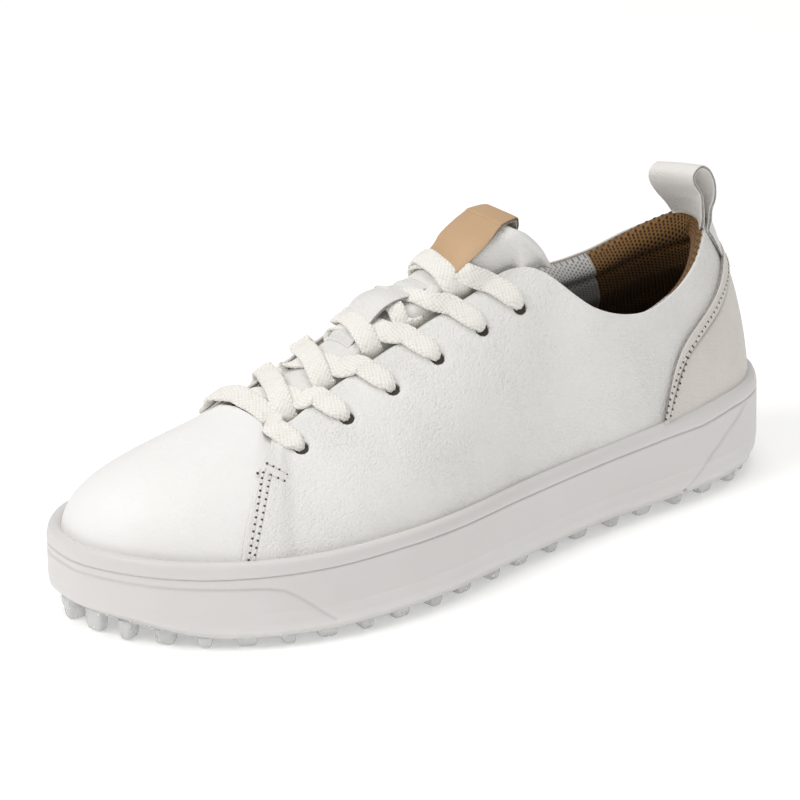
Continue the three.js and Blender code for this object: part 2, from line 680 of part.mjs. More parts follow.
// ---- assembly ----
const WHITE_LEATHER = { color: '#ecebe8', roughness: 0.55, metalness: 0 };
const GREY_LEATHER = { color: '#d6d0ca', roughness: 0.5, metalness: 0 };
const TAN_LEATHER = { color: '#c6a27b', roughness: 0.6, metalness: 0 };
const CUP_FOAM = { color: '#e9e7e3', roughness: 0.45, metalness: 0 };
const LUG_RUBBER = { color: '#dcdcd8', roughness: 0.35, metalness: 0 };
const BOARD = { color: '#cfc8bb', roughness: 0.9, metalness: 0 };
const SOCK_FABRIC = { color: '#8c7a66', roughness: 0.95, metalness: 0 };
const GREY_MESH = { color: '#c9c8c6', roughness: 0.9, metalness: 0 };
const BROWN_MESH = { color: '#8a5a24', roughness: 0.9, metalness: 0 };
const FOAM = { color: '#e4d9b0', roughness: 1, metalness: 0 };
const COUNTER = { color: '#b9b4aa', roughness: 0.7, metalness: 0 };
const LACE = { color: '#eeebe3', roughness: 0.85, metalness: 0 };
const AGLET = { color: '#f1f0ec', roughness: 0.3, metalness: 0 };

const shoe = new THREE.Group();

function add(name, geometry, finish) {
  const mesh = new THREE.Mesh(geometry, new THREE.MeshStandardMaterial(finish));
  mesh.name = name;
  shoe.add(mesh);
}

add('outsole_plate', outsole(), LUG_RUBBER);
add('midsole_cup', midsoleCup(), CUP_FOAM);
add('strobel_board', strobelBoard(), BOARD);
add('sockliner', sockliner(), SOCK_FABRIC);
add('vamp', vamp(), WHITE_LEATHER);
add('quarter_outer', quarterOuter(), WHITE_LEATHER);
add('quarter_inner', quarterInner(), WHITE_LEATHER);
add('heel_panel', heelPanel(), GREY_LEATHER);
add('toe_puff', toePuff(), COUNTER);
add('heel_counter', backing(-4.5, 4.5, 0.04, 0.57), COUNTER);
add('eyestay_backing_outer', punch(backing(6.65, 12.9, 0.5, 0.96), eyeletsOuter), COUNTER);
add('eyestay_backing_inner', punch(backing(20.1, 26.35, 0.5, 0.96), eyeletsInner), COUNTER);
add('collar_foam', collarFoam(), FOAM);
add('front_lining', punch(lining(5.02, 27.98), [...eyeletsOuter, ...eyeletsInner]), GREY_MESH);
add('heel_lining', lining(-4.98, 4.98), BROWN_MESH);
add('tongue', tongueLayer(-1, TONGUE_END, -LEATHER, 0, [0, 1], [14, 12]), WHITE_LEATHER);
add('tongue_lining', tongueLayer(-0.95, TONGUE_END, -2.3, -1.5, [0.01, 0.99], [14, 12]), GREY_MESH);
add('tongue_lace_keeper', laceKeeper(), WHITE_LEATHER);
add('tongue_flap', tongueLayer(FLAP_START, 8, -LEATHER, 0, [0, 1], [5, 12]), WHITE_LEATHER);
add('tongue_flap_foam', tongueLayer(FLAP_START, 7.9, -4.5, -1.6, [0.03, 0.97], [5, 12]), FOAM);
add('tongue_flap_lining', tongueLayer(FLAP_START, 8, -5.7, -4.9, [0.01, 0.99], [5, 12]), GREY_MESH);
add('tongue_label', tongueLabel(), TAN_LEATHER);
add('pull_tab_back_leg', tabLeg(0.83, 0.985, GAP + TAB_THICKNESS / 2), GREY_LEATHER);
add('pull_tab_front_leg', tabLeg(0.86, 0.985, -LEATHER - GAP - TAB_THICKNESS / 2), GREY_LEATHER);
add('pull_tab_loop', tabLoop(), GREY_LEATHER);
add('lace', sweep(laceSections(laceStops)), LACE);
add('aglet_outer', aglet(routeOuter), AGLET);
add('aglet_inner', aglet(routeInner), AGLET);

const box = new THREE.Box3().setFromObject(shoe);
shoe.position.set(-(box.min.x + box.max.x) / 2, -(box.min.y + box.max.y) / 2, -box.min.z);

export default shoe;
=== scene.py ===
"""Golf shoe, left foot: the looks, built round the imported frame. Lengths inside are millimetres."""

import math

import bmesh
import bpy
import numpy as np
from mathutils import Matrix, Vector


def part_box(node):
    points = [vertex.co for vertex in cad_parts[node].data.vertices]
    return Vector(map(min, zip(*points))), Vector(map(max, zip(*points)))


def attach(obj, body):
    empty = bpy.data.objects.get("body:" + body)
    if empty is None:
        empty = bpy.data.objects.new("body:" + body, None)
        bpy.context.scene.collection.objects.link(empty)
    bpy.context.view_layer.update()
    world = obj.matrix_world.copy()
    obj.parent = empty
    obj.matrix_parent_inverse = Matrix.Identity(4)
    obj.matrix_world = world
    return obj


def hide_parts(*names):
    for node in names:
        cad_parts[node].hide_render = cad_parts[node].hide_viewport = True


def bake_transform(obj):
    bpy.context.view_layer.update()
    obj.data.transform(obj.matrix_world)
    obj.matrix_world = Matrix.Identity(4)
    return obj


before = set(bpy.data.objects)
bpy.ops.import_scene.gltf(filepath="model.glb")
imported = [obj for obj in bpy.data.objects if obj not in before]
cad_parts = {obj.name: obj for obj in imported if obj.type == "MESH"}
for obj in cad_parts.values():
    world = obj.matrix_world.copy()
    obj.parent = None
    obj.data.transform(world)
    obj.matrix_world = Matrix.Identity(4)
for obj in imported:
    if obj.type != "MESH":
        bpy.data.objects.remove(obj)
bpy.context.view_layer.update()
MM = 0.001

# The drawing's x and y against the frame's: its cup starts at x -3.5 and has its middle at y 2.5.
CUP_LOW, CUP_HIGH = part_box("midsole_cup")
SHIFT = np.array([-3.5 - CUP_LOW[0] / MM, 2.5 - (CUP_LOW[1] + CUP_HIGH[1]) / 2 / MM, 0.0])

# ---------------------------------------------------------------- camera, light and floor
AZIMUTH = math.radians(143.473)
ELEVATION = math.radians(22.617)
ROLL = math.radians(-1.051)
DISTANCE = 2096.8
FOCAL_TO_WIDTH = 6.902875
VIEW_SHIFT = (-0.0286875, 0.03385)
TARGET = (0.3, -2.5, 45.0)


def add_camera():
    """A long lens, as the photograph's; its own frame is side, top and back."""
    flat = math.cos(ELEVATION)
    back = Vector((math.sin(AZIMUTH) * flat, -math.cos(AZIMUTH) * flat, math.sin(ELEVATION)))
    right = Vector((math.cos(AZIMUTH), math.sin(AZIMUTH), 0))
    up = back.cross(right)
    side = right * math.cos(ROLL) + up * math.sin(ROLL)
    top = up * math.cos(ROLL) - right * math.sin(ROLL)
    data = bpy.data.cameras.new("camera")
    data.sensor_fit = "HORIZONTAL"
    data.lens = FOCAL_TO_WIDTH * data.sensor_width
    data.shift_x, data.shift_y = VIEW_SHIFT
    data.clip_end = 20
    camera = bpy.data.objects.new("camera", data)
    turn = Matrix((side, top, back)).transposed().to_4x4()
    camera.matrix_world = Matrix.Translation((Vector(TARGET) + back * DISTANCE) * MM) @ turn
    bpy.context.scene.collection.objects.link(camera)
    bpy.context.scene.camera = camera


def add_light(name, place, size, power, colour, aim=(0, 0, 0.05)):
    """A soft lamp, aimed at the shoe."""
    data = bpy.data.lights.new(name, "AREA")
    data.shape = "RECTANGLE"
    data.size, data.size_y = size
    data.energy = power
    data.color = colour
    lamp = bpy.data.objects.new(name, data)
    lamp.location = place
    lamp.rotation_euler = (Vector(aim) - Vector(place)).to_track_quat("-Z", "Y").to_euler()
    bpy.context.scene.collection.objects.link(lamp)


def add_world(strength, colour):
    world = bpy.data.worlds.new("studio")
    world.use_nodes = True
    node = world.node_tree.nodes["Background"]
    node.inputs["Color"].default_value = (*colour, 1)
    node.inputs["Strength"].default_value = strength
    bpy.context.scene.world = world


# ---------------------------------------------------------------- node materials
class Shader:
    """A small helper that wires a Principled material."""

    def __init__(self, name, roughness=0.5, specular=0.5):
        self.material = bpy.data.materials.new(name)
        self.material.use_nodes = True
        self.tree = self.material.node_tree
        self.bsdf = self.tree.nodes["Principled BSDF"]
        self.bsdf.inputs["Roughness"].default_value = roughness
        self.bsdf.inputs["Specular IOR Level"].default_value = specular
        self.place = self.node("ShaderNodeTexCoord").outputs["Object"]
        self.height = None

    def node(self, kind):
        return self.tree.nodes.new(kind)

    def put(self, socket, value):
        if isinstance(value, bpy.types.NodeSocket):
            self.tree.links.new(value, socket)
        elif isinstance(value, tuple) and len(value) == 3 and socket.type == "RGBA":
            socket.default_value = (*value, 1)
        else:
            socket.default_value = value

    def attribute(self, name):
        made = self.node("ShaderNodeAttribute")
        made.attribute_name = name
        return made.outputs["Fac"]

    def noise(self, per_mm, detail=3.0, roughness=0.55):
        made = self.node("ShaderNodeTexNoise")
        self.put(made.inputs["Vector"], self.place)
        made.inputs["Scale"].default_value = per_mm / MM
        made.inputs["Detail"].default_value = detail
        made.inputs["Roughness"].default_value = roughness
        return made.outputs["Fac"]

    def pebbles(self, per_mm, vector):
        made = self.node("ShaderNodeTexVoronoi")
        made.feature = "SMOOTH_F1"
        self.put(made.inputs["Vector"], vector)
        made.inputs["Scale"].default_value = per_mm / MM
        made.inputs["Smoothness"].default_value = 0.8
        return made.outputs["Distance"]

    def math(self, operation, a, b):
        made = self.node("ShaderNodeMath")
        made.operation = operation
        self.put(made.inputs[0], a)
        self.put(made.inputs[1], b)
        return made.outputs[0]

    def span(self, value, low, high, to_low=0.0, to_high=1.0):
        made = self.node("ShaderNodeMapRange")
        for socket, item in zip(made.inputs, (value, low, high, to_low, to_high)):
            self.put(socket, item)
        return made.outputs[0]

    def mix(self, factor, a, b):
        """Colour a at factor 0 and b at 1; a mix node's colour sockets are its seventh and eighth."""
        made = self.node("ShaderNodeMix")
        made.data_type = "RGBA"
        for slot, value in ((0, factor), (6, a), (7, b)):
            self.put(made.inputs[slot], value)
        return made.outputs[2]

    def bump(self, height, depth_mm):
        made = self.node("ShaderNodeBump")
        self.put(made.inputs["Height"], height)
        made.inputs["Distance"].default_value = depth_mm * MM
        made.inputs["Strength"].default_value = 1.0
        if self.height is not None:
            self.put(made.inputs["Normal"], self.height)
        self.height = made.outputs["Normal"]

    def done(self, colour=None, roughness=None):
        if colour is not None:
            self.put(self.bsdf.inputs["Base Color"], colour)
        if roughness is not None:
            self.put(self.bsdf.inputs["Roughness"], roughness)
        if self.height is not None:
            self.put(self.bsdf.inputs["Normal"], self.height)
        return self.material


def leather(name, light, shade, grain=0.4, roughness=0.5):
    """Full-grain leather: soft pebbles, fine pores, clouded colour; a vertex attribute paints shade, near
    black, into punched holes and sunken seams.
    """
    s = Shader(name, roughness, 0.4)
    cloud = s.noise(0.018, 3)
    colour = s.mix(s.span(cloud, 0.35, 0.7), light, shade)
    warped = s.node("ShaderNodeVectorMath")
    warped.operation = "MULTIPLY_ADD"
    drift = s.node("ShaderNodeTexNoise")
    s.put(drift.inputs["Vector"], s.place)
    drift.inputs["Scale"].default_value = 0.8 / MM
    s.put(warped.inputs[0], drift.outputs["Color"])
    warped.inputs[1].default_value = (0.3 * MM,) * 3
    s.put(warped.inputs[2], s.place)
    pebble = s.pebbles(1.15, warped.outputs[0])
    pore = s.noise(2.4, 4, 0.6)
    flatness = s.span(s.noise(0.03, 2), 0.3, 0.7, 0.45, 1.0)
    smooth_part = s.attribute("smooth")
    strength = s.math("MULTIPLY", flatness, s.math("SUBTRACT", 1.0, s.math("MULTIPLY", smooth_part, 0.75)))
    s.bump(s.math("MULTIPLY", s.span(pebble, 0.0, 0.75, 1.0, 0.0), strength), grain)
    s.bump(s.math("MULTIPLY", pore, strength), grain * 0.7)
    colour = s.mix(s.span(pebble, 0.45, 0.95, 0.0, 0.10), colour, shade)
    # Painted shade: where the vertex attribute is set, the colour goes near black, standing in for the shade
    # inside holes and seams.
    mark = s.attribute("mark")
    colour = s.mix(mark, colour, (0.045, 0.038, 0.03))
    rough = s.span(s.noise(0.9, 3), 0.3, 0.7, roughness - 0.06, roughness + 0.1)
    s.bsdf.inputs["Sheen Weight"].default_value = 0.04
    s.bsdf.inputs["Sheen Roughness"].default_value = 0.6
    return s.done(colour, rough)


def fibrous(name, light, dark, grain, depth=0.1, roughness=0.92, specular=0.2, band=0.15):
    """Any matt surface of fibre or foam: grain is a noise's scale, detail and roughness."""
    s = Shader(name, roughness, specular)
    noise = s.noise(*grain)
    s.bump(noise, depth)
    return s.done(s.mix(s.span(noise, 0.5 - band, 0.5 + band), dark, light))


def cut_edge(name, light, dark):
    """The raw cut side of leather or board, with loose fibre."""
    return fibrous(name, light, dark, (1.6, 5, 0.75), 0.25, 0.9, band=0.12)


def thread(name, light, dark):
    """Twisted sewing thread."""
    return fibrous(name, light, dark, (3.5, 3, 0.7), 0.06, 0.7, 0.3)


def dull(name, light, dark, scale=1.2, depth=0.1):
    return fibrous(name, light, dark, (scale, 4, 0.65), depth)


def moulded(name, light, shade, roughness=0.42):
    """Moulded rubber with a faint cloud and a fine dull skin; a vertex attribute paints shade into its
    pressed lines and grooves.
    """
    s = Shader(name, roughness, 0.45)
    colour = s.mix(s.span(s.noise(0.012, 3), 0.3, 0.7), light, shade)
    s.bump(s.noise(3.0, 3), 0.012)
    s.bump(s.noise(0.12, 2), 0.05)
    # Painted shade: the pressed lines and the main groove are darkened towards a brown grey.
    line = s.attribute("mark")
    colour = s.mix(line, colour, (0.33, 0.29, 0.26))
    s.bsdf.inputs["Subsurface Weight"].default_value = 0.12
    s.bsdf.inputs["Subsurface Radius"].default_value = (1.0, 0.8, 0.7)
    s.bsdf.inputs["Subsurface Scale"].default_value = 2 * MM
    rough = s.span(s.noise(0.5, 3), 0.3, 0.7, roughness - 0.05, roughness + 0.07)
    return s.done(colour, rough)


def clear_rubber(name):
    """Milky see-through rubber of the lugs."""
    s = Shader(name, 0.2, 0.5)
    s.bsdf.inputs["IOR"].default_value = 1.46
    s.bsdf.inputs["Transmission Weight"].default_value = 0.45
    s.bsdf.inputs["Subsurface Weight"].default_value = 0.3
    s.bsdf.inputs["Subsurface Radius"].default_value = (1.0, 1.0, 1.0)
    s.bsdf.inputs["Subsurface Scale"].default_value = 3 * MM
    s.bump(s.noise(0.5, 2), 0.05)
    colour = s.mix(s.span(s.noise(0.05, 2), 0.3, 0.7), (0.95, 0.95, 0.94), (0.88, 0.88, 0.87))
    return s.done(colour, s.span(s.noise(0.3, 2), 0.3, 0.7, 0.12, 0.3))


def woven_lace(name):
    """Cream cotton braid: the relief attribute is 1 on a stitch and 0 between stitches, where the cream is
    darkened as painted shade.
    """
    s = Shader(name, 0.85, 0.2)
    relief = s.attribute("relief")
    fibre = s.noise(5.0, 4, 0.7)
    # Painted shade: between the stitches the cream turns a darker brownish tone.
    colour = s.mix(relief, (0.76, 0.71, 0.62), (0.96, 0.95, 0.92))
    colour = s.mix(s.span(fibre, 0.3, 0.7, 0.0, 0.2), colour, (0.84, 0.81, 0.74))
    s.bump(fibre, 0.09)
    s.bsdf.inputs["Sheen Weight"].default_value = 0.25
    s.bsdf.inputs["Sheen Roughness"].default_value = 0.42
    return s.done(colour)


def knit(name, thread_light, thread_dark, gap):
    """Spacer mesh: the relief attribute is 1 on a yarn and 0 in a hole; the gap colour is painted shade, in
    the holes and low down inside the shoe.
    """
    s = Shader(name, 0.8, 0.25)
    relief = s.attribute("relief")
    fibre = s.noise(4.0, 4, 0.7)
    colour = s.mix(s.span(fibre, 0.3, 0.7), thread_dark, thread_light)
    # Painted shade: the holes between the yarns take the dark gap colour.
    colour = s.mix(s.span(relief, 0.15, 0.8), gap, colour)
    # Painted shade: below 88 mm up the colour fades towards the gap colour, nine tenths of the way by 50 mm,
    # darkening the deep inside of the shoe.
    apart = s.node("ShaderNodeSeparateXYZ")
    s.put(apart.inputs[0], s.place)
    colour = s.mix(s.span(apart.outputs[2], 0.05, 0.088, 0.9, 0.0), colour, gap)
    s.bump(fibre, 0.08)
    s.bsdf.inputs["Sheen Weight"].default_value = 0.15
    return s.done(colour)


# ---------------------------------------------------------------- mesh helpers
def place(points):
    """Drawing millimetres to the frame's metres."""
    return (np.asarray(points, float) - SHIFT) * MM


def make_object(name, vertices, faces, materials, body="shoe", face_material=None, **attributes):
    mesh = bpy.data.meshes.new(name)
    mesh.from_pydata(place(vertices).tolist(), [], [list(map(int, f)) for f in faces])
    for key, values in attributes.items():
        made = mesh.attributes.new(key, "FLOAT", "POINT")
        made.data.foreach_set("value", np.asarray(values, np.float32).ravel())
    for item in materials if isinstance(materials, (list, tuple)) else [materials]:
        mesh.materials.append(item)
    if face_material is not None:
        mesh.polygons.foreach_set("material_index", np.asarray(face_material, np.int32))
    mesh.polygons.foreach_set("use_smooth", [True] * len(mesh.polygons))
    mesh.validate()
    mesh.update()
    made = bpy.data.objects.new(name, mesh)
    bpy.context.scene.collection.objects.link(made)
    if body:
        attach(made, body)
    return made


def grid_faces(ni, nj, start=0, wrap_i=False, wrap_j=False):
    """Quads over a grid of ni by nj vertices."""
    i = np.arange(ni if wrap_i else ni - 1)
    j = np.arange(nj if wrap_j else nj - 1)
    a, b = np.meshgrid(i, j, indexing="ij")
    a, b = a.ravel(), b.ravel()
    a2, b2 = (a + 1) % ni, (b + 1) % nj
    quads = np.stack([a * nj + b, a2 * nj + b, a2 * nj + b2, a * nj + b2], 1)
    return quads + start


def rim_stack_faces(around, levels):
    """Faces of a stack whose vertices run up its levels at each place around, with both ends closed."""
    index = np.arange(around * levels).reshape(around, levels)
    return grid_faces(around, levels, wrap_i=True).tolist() + [index[:, 0].tolist(), index[:, -1].tolist()]


def tube_faces(levels, around, start=0):
    """Faces of a tube whose vertices run ring by ring, with both ends closed."""
    last = start + (levels - 1) * around
    ends = [list(range(start, start + around))[::-1], list(range(last, last + around))]
    return grid_faces(levels, around, start, wrap_j=True).tolist() + ends


def circle(count):
    """The angles of a ring."""
    return np.linspace(0, 2 * math.pi, count, endpoint=False)


def shell_faces(ni, nj):
    """Faces of a closed sheet: the top grid, then the bottom grid, then the rims."""
    top = grid_faces(ni, nj)
    low = grid_faces(ni, nj, ni * nj)[:, ::-1]
    n = ni * nj
    rims = []

    def rim(chain):
        a, b = chain[:-1], chain[1:]
        rims.append(np.stack([b, a, a + n, b + n], 1))

    index = np.arange(n).reshape(ni, nj)
    for chain in (index[:, 0], index[:, -1][::-1], index[0, :][::-1], index[-1, :]):
        rim(chain)
    sides = np.concatenate(rims)
    return np.concatenate([top, low, sides]), len(top), len(low), len(sides)


def orient(vertices, faces):
    """Turns all faces over where the mesh's volume comes out negative."""
    p = np.asarray(vertices)
    f = np.asarray(faces)
    a, b, c, d = p[f[:, 0]], p[f[:, 1]], p[f[:, 2]], p[f[:, 3]]
    volume = np.einsum("ij,ij->i", a, np.cross(b, c)).sum() + np.einsum("ij,ij->i", a, np.cross(c, d)).sum()
    return f if volume > 0 else f[:, ::-1]


def fix_normals(obj):
    """Turns every face outwards."""
    work = bmesh.new()
    work.from_mesh(obj.data)
    bmesh.ops.recalc_face_normals(work, faces=work.faces)
    work.to_mesh(obj.data)
    work.free()


def smoothstep(t):
    t = np.clip(t, 0, 1)
    return t * t * (3 - 2 * t)


def lerp(a, b, t):
    return a + (b - a) * t


def unit(v):
    return v / np.maximum(np.linalg.norm(v, axis=-1, keepdims=True), 1e-12)


def cubic(a, b, c, d, f):
    """Catmull-Rom between b and c."""
    return 0.5 * (2 * b + (c - a) * f + (2 * a - 5 * b + 4 * c - d) * f**2 + (3 * b - a - 3 * c + d) * f**3)


def catmull(points, t, closed):
    """Uniform Catmull-Rom through points (n, 3) at t in point steps; t may be any shape."""
    p = np.asarray(points, float)
    n = len(p)
    t = np.asarray(t, float)
    if closed:
        k = np.floor(t).astype(int)
        f = (t - k)[..., None]
        a, b, c, d = (p[(k + m) % n] for m in (-1, 0, 1, 2))
    else:
        p = np.vstack([2 * p[0] - p[1], p, 2 * p[-1] - p[-2]])
        t = np.clip(t, 0, n - 1)
        k = np.minimum(np.floor(t).astype(int), n - 2)
        f = (t - k)[..., None]
        a, b, c, d = (p[k + m] for m in (0, 1, 2, 3))
    return cubic(a, b, c, d, f)


# ---------------------------------------------------------------- the surface of the upper
SOLE_OUTLINE = np.array([
    [-3.5, 0], [0.5, 17], [12.5, 31.5], [34, 39.5], [65, 42], [100, 44], [140, 50.5], [178, 58],
    [208, 59.5], [238, 55.5], [266, 42.5], [288, 22], [301, -3], [302.5, -22], [298, -36], [284, -48],
    [262, -53.5], [235, -54.5], [203, -50.5], [168, -43], [133, -38.5], [98, -37.5], [63, -38.5],
    [33, -37], [12, -30], [0.5, -16.5],
])

# Each rib: foot x and y, top x, y and z, the low handle's lean and rise, the high one's pull and drop.
RIBS = np.array([
    [1, 0, 14, 0, 100.5, 0, 32, 0.75, 20],
    [5, 16, 19, 9, 96.7, 0, 32, 0.7, 20],
    [17.5, 29.5, 33, 20.5, 89.5, 0, 28, 0.6, 18],
    [39, 36, 50, 28, 83.5, 0.5, 24, 0.5, 18],
    [67, 38.5, 70, 32.5, 81.3, 1.5, 22, 0.4, 20],
    [95, 40, 91, 31.5, 88.5, 2, 24, 0.35, 20],
    [117, 42.5, 107, 20, 103.7, 3, 28, 0.35, 22],
    [130, 44.5, 117, 13, 105.3, 3, 30, 0.5, 17],
    [146, 47.5, 134, 12, 101, 3, 29, 0.55, 16],
    [166, 52, 156, 12, 95, 3, 27, 0.58, 14],
    [186, 54.5, 177, 12, 88, 3, 25, 0.6, 13],
    [206, 55, 198, 12, 81, 3, 22, 0.6, 11],
    [224, 53.5, 215, 12, 74, 3, 20, 0.6, 9],
    [242, 48.5, 229, 12, 67.2, 3, 19, 0.6, 5],
    [262, 38, 230, 8, 70.6, 4, 21.2, 0.62, 6],
    [281, 20.5, 231, 3, 72.4, 4, 26.4, 0.62, 8],
    [294, 0, 231.5, -2, 73, 4, 29, 0.62, 10],
    [297.5, -19, 231.5, -6, 73, 3.5, 30, 0.62, 10],
    [292.5, -34, 233, -9, 73, 4, 27.5, 0.59, 13.9],
    [276, -44.5, 234, -12, 72.7, 4, 21.3, 0.55, 16.1],
    [255, -49, 233, -13, 72.5, 4, 17.6, 0.5, 20],
    [230, -49, 221, -13.5, 76, 3, 19, 0.5, 22],
    [206, -46, 203, -13.5, 82, 3, 23, 0.54, 19.8],
    [184, -42, 182, -13.5, 88.8, 3, 28, 0.58, 14],
    [164, -39, 160, -13.5, 96, 3, 30, 0.55, 16],
    [146, -37, 139, -13.5, 102, 3, 31, 0.5, 17],
    [130, -35.5, 120, -14.5, 106.5, 3, 31, 0.45, 18],
    [114, -34.5, 107, -20, 104.7, 3, 30, 0.35, 20],
    [92, -33.5, 91, -29, 90, 2, 26, 0.2, 22],
    [66, -35, 70, -31.5, 82.5, 1.5, 24, 0.4, 20],
    [39, -33.5, 50, -28, 84.5, 0.5, 26, 0.5, 20],
    [17.5, -27.5, 33, -20.5, 92, 0, 30, 0.6, 20],
    [5, -15, 19, -9, 98.5, 0, 32, 0.7, 20],
])
RIB_COUNT = len(RIBS)
FEATHER_Z = 24
# The ribs at the throat's front corners.
THROAT_OUTER = 13
THROAT_INNER = 20


def rib_points():
    """The four control points of every rib's curve, from the sole's edge to the top line."""
    foot = np.column_stack([RIBS[:, 0], RIBS[:, 1], np.full(RIB_COUNT, FEATHER_Z)])
    top = RIBS[:, 2:5]
    along = unit(np.roll(foot, -1, 0) - np.roll(foot, 1, 0))
    low = foot + np.column_stack([-along[:, 1] * RIBS[:, 5], along[:, 0] * RIBS[:, 5], RIBS[:, 6]])
    reach = (foot - top) * RIBS[:, 7:8]
    high = top + np.column_stack([reach[:, 0], reach[:, 1], -RIBS[:, 8]])
    return foot, low, high, top


RIB_CURVES = rib_points()


def skin(u, v):
    """The upper's surface: u counts ribs from the heel round the outer side, v goes from 0 below to 1."""
    u, v = np.broadcast_arrays(np.asarray(u, float), np.asarray(v, float))
    a, b, c, d = (catmull(curve, u % RIB_COUNT, True) for curve in RIB_CURVES)
    t = v[..., None]
    return a * (1 - t) ** 3 + 3 * b * t * (1 - t) ** 2 + 3 * c * t**2 * (1 - t) + d * t**3


def skin_normal(u, v):
    step = 0.02
    v = np.asarray(v, float)
    up = skin(u, np.minimum(v + step, 1)) - skin(u, np.maximum(v - step, 0))
    along = skin(np.asarray(u) + step, v) - skin(np.asarray(u) - step, v)
    return unit(np.cross(up, along))


def skin_at(u, v, height):
    return skin(u, v) + skin_normal(u, v) * np.asarray(height, float)[..., None]


def from_heel(u):
    """How many ribs u is away from the heel's middle."""
    u = np.asarray(u, float)
    return np.minimum(np.abs(u), np.abs(RIB_COUNT - u))


LEATHER = 1.2
OVERLAY = 1.5
# How many ribs the quarters lap over the toe box, and how far the heel panel reaches forward.
LAP = 0.5
HEEL_REACH = 3.97


def seam_outer(v):
    return 14 - 0.45 * v**2 - 0.5 * v**6


def seam_inner(v):
    return 19.65 + 0.12 * v**2 + 0.25 * v**6


def lift_outer(u, v):
    return OVERLAY * smoothstep((u - seam_outer(v) + LAP + 0.45) / 0.4)


def lift_inner(u, v):
    return OVERLAY * smoothstep((seam_inner(v) + LAP + 0.45 - u) / 0.4)


def heel_top(u):
    return 0.8 - 0.07 * (u / 2.6) ** 2 - 0.62 * (np.abs(u) / HEEL_REACH) ** 14


# Eyelets, in ribs back from the throat's front.
LACE_ROWS = np.array([0.6, 1.8, 2.85, 3.9, 4.95, 6.05])
EYELET_V = 0.8
EYELETS_OUTER = THROAT_OUTER - LACE_ROWS
EYELETS_INNER = THROAT_INNER + LACE_ROWS


# ---------------------------------------------------------------- panels of the upper
EDGE_STEPS = np.array([0.08, 0.25, 0.5, 0.9, 1.4])


def steps(count, length, first=True, last=True, extra=()):
    """Even steps from 0 to 1, with closer ones near the edges that get rounded."""
    parts = [np.linspace(0, 1, count + 1), np.asarray(extra, float)]
    if first:
        parts.append(EDGE_STEPS / length)
    if last:
        parts.append(1 - EDGE_STEPS / length)
    t = np.unique(np.clip(np.concatenate(parts), 0, 1))
    keep = np.append(True, np.diff(t) > 0.04 / length)
    keep[-1] = True
    return t[keep]


def near(centres, reach, count):
    """Extra steps around some places."""
    return np.concatenate([np.linspace(c - reach, c + reach, count) for c in centres])


def edge_distance(p, sides):
    """Distance in mm along the grid to the nearest free side of (i low, i high, j low, j high)."""
    gap = [np.linalg.norm(np.diff(p, axis=k), axis=2) for k in (0, 1)]
    run_i = np.concatenate([np.zeros((1, p.shape[1])), np.cumsum(gap[0], 0)])
    run_j = np.concatenate([np.zeros((p.shape[0], 1)), np.cumsum(gap[1], 1)], 1)
    options = (run_i, run_i[-1:] - run_i, run_j, run_j[:, -1:] - run_j)
    best = np.full(p.shape[:2], 99.0)
    for wanted, run in zip(sides, options):
        if wanted:
            best = np.minimum(best, run)
    return best


def rounding(distance, radius):
    """How far a face drops near an edge that is rounded to a radius."""
    inside = np.clip(radius - distance, 0, radius)
    return radius - np.sqrt(np.maximum(radius**2 - inside**2, 0))


def shell(name, top, low, materials, body="shoe", **attributes):
    """A closed sheet between two grids; materials are for its top, its underside and its cut rim."""
    ni, nj = top.shape[:2]
    vertices = np.concatenate([top.reshape(-1, 3), low.reshape(-1, 3)])
    faces, tops, lows, sides = shell_faces(ni, nj)
    index = np.repeat([0, 1, 2], [tops, lows, sides])
    both = {key: np.concatenate([value.ravel(), value.ravel()]) for key, value in attributes.items()}
    return make_object(name, vertices, orient(vertices, faces), materials, body, index, **both)


def skin_panel(name, a, b, where, low, high, materials, sides=(1, 1, 1, 1), radius=(0.5, 0.3), extra=None):
    """A panel on the upper: where(a, b) gives u and v, low and high are heights of its two faces."""
    grid_a, grid_b = np.meshgrid(a, b, indexing="ij")
    u, v = where(grid_a, grid_b)
    high = high(u, v) if callable(high) else np.full(u.shape, float(high))
    low = low(u, v) if callable(low) else np.full(u.shape, float(low))
    flat = skin_at(u, v, high)
    distance = edge_distance(flat, sides)
    attributes = {}
    if extra is not None:
        shift, attributes = extra(u, v, flat, distance)
        high = high + shift
    top = skin_at(u, v, high - rounding(distance, radius[0]))
    under = skin_at(u, v, low + rounding(distance, radius[1]))
    return shell(name, top, under, materials, "shoe", **attributes)


def polyline(points, step):
    """Points every step mm along a line through (u, v) pairs on the skin."""
    points = np.asarray(points, float)
    t = np.linspace(0, len(points) - 1, 60 * len(points))
    dense = np.column_stack([np.interp(t, np.arange(len(points)), points[:, k]) for k in (0, 1)])
    p = skin(dense[:, 0], dense[:, 1])
    run = np.append(0, np.cumsum(np.linalg.norm(np.diff(p, axis=0), axis=1)))
    wanted = np.arange(0, run[-1], step)
    return np.column_stack([np.interp(wanted, run, dense[:, k]) for k in (0, 1)])


def line_distance(p, curve):
    """Distance from every point of a grid to the nearest point of a curve."""
    flat = p.reshape(-1, 3)
    best = np.full(len(flat), 1e9)
    for q in curve:
        best = np.minimum(best, ((flat - q) ** 2).sum(1))
    return np.sqrt(best).reshape(p.shape[:2])


STITCH_PITCH = 2.55
THREAD_RADIUS = 0.33
# Height and radius of a needle hole's rings; the hole is a near-black stub of painted shade.
HOLE_RINGS = [(-0.25, 0.375), (0.0, 0.575), (0.17, 0.425)]

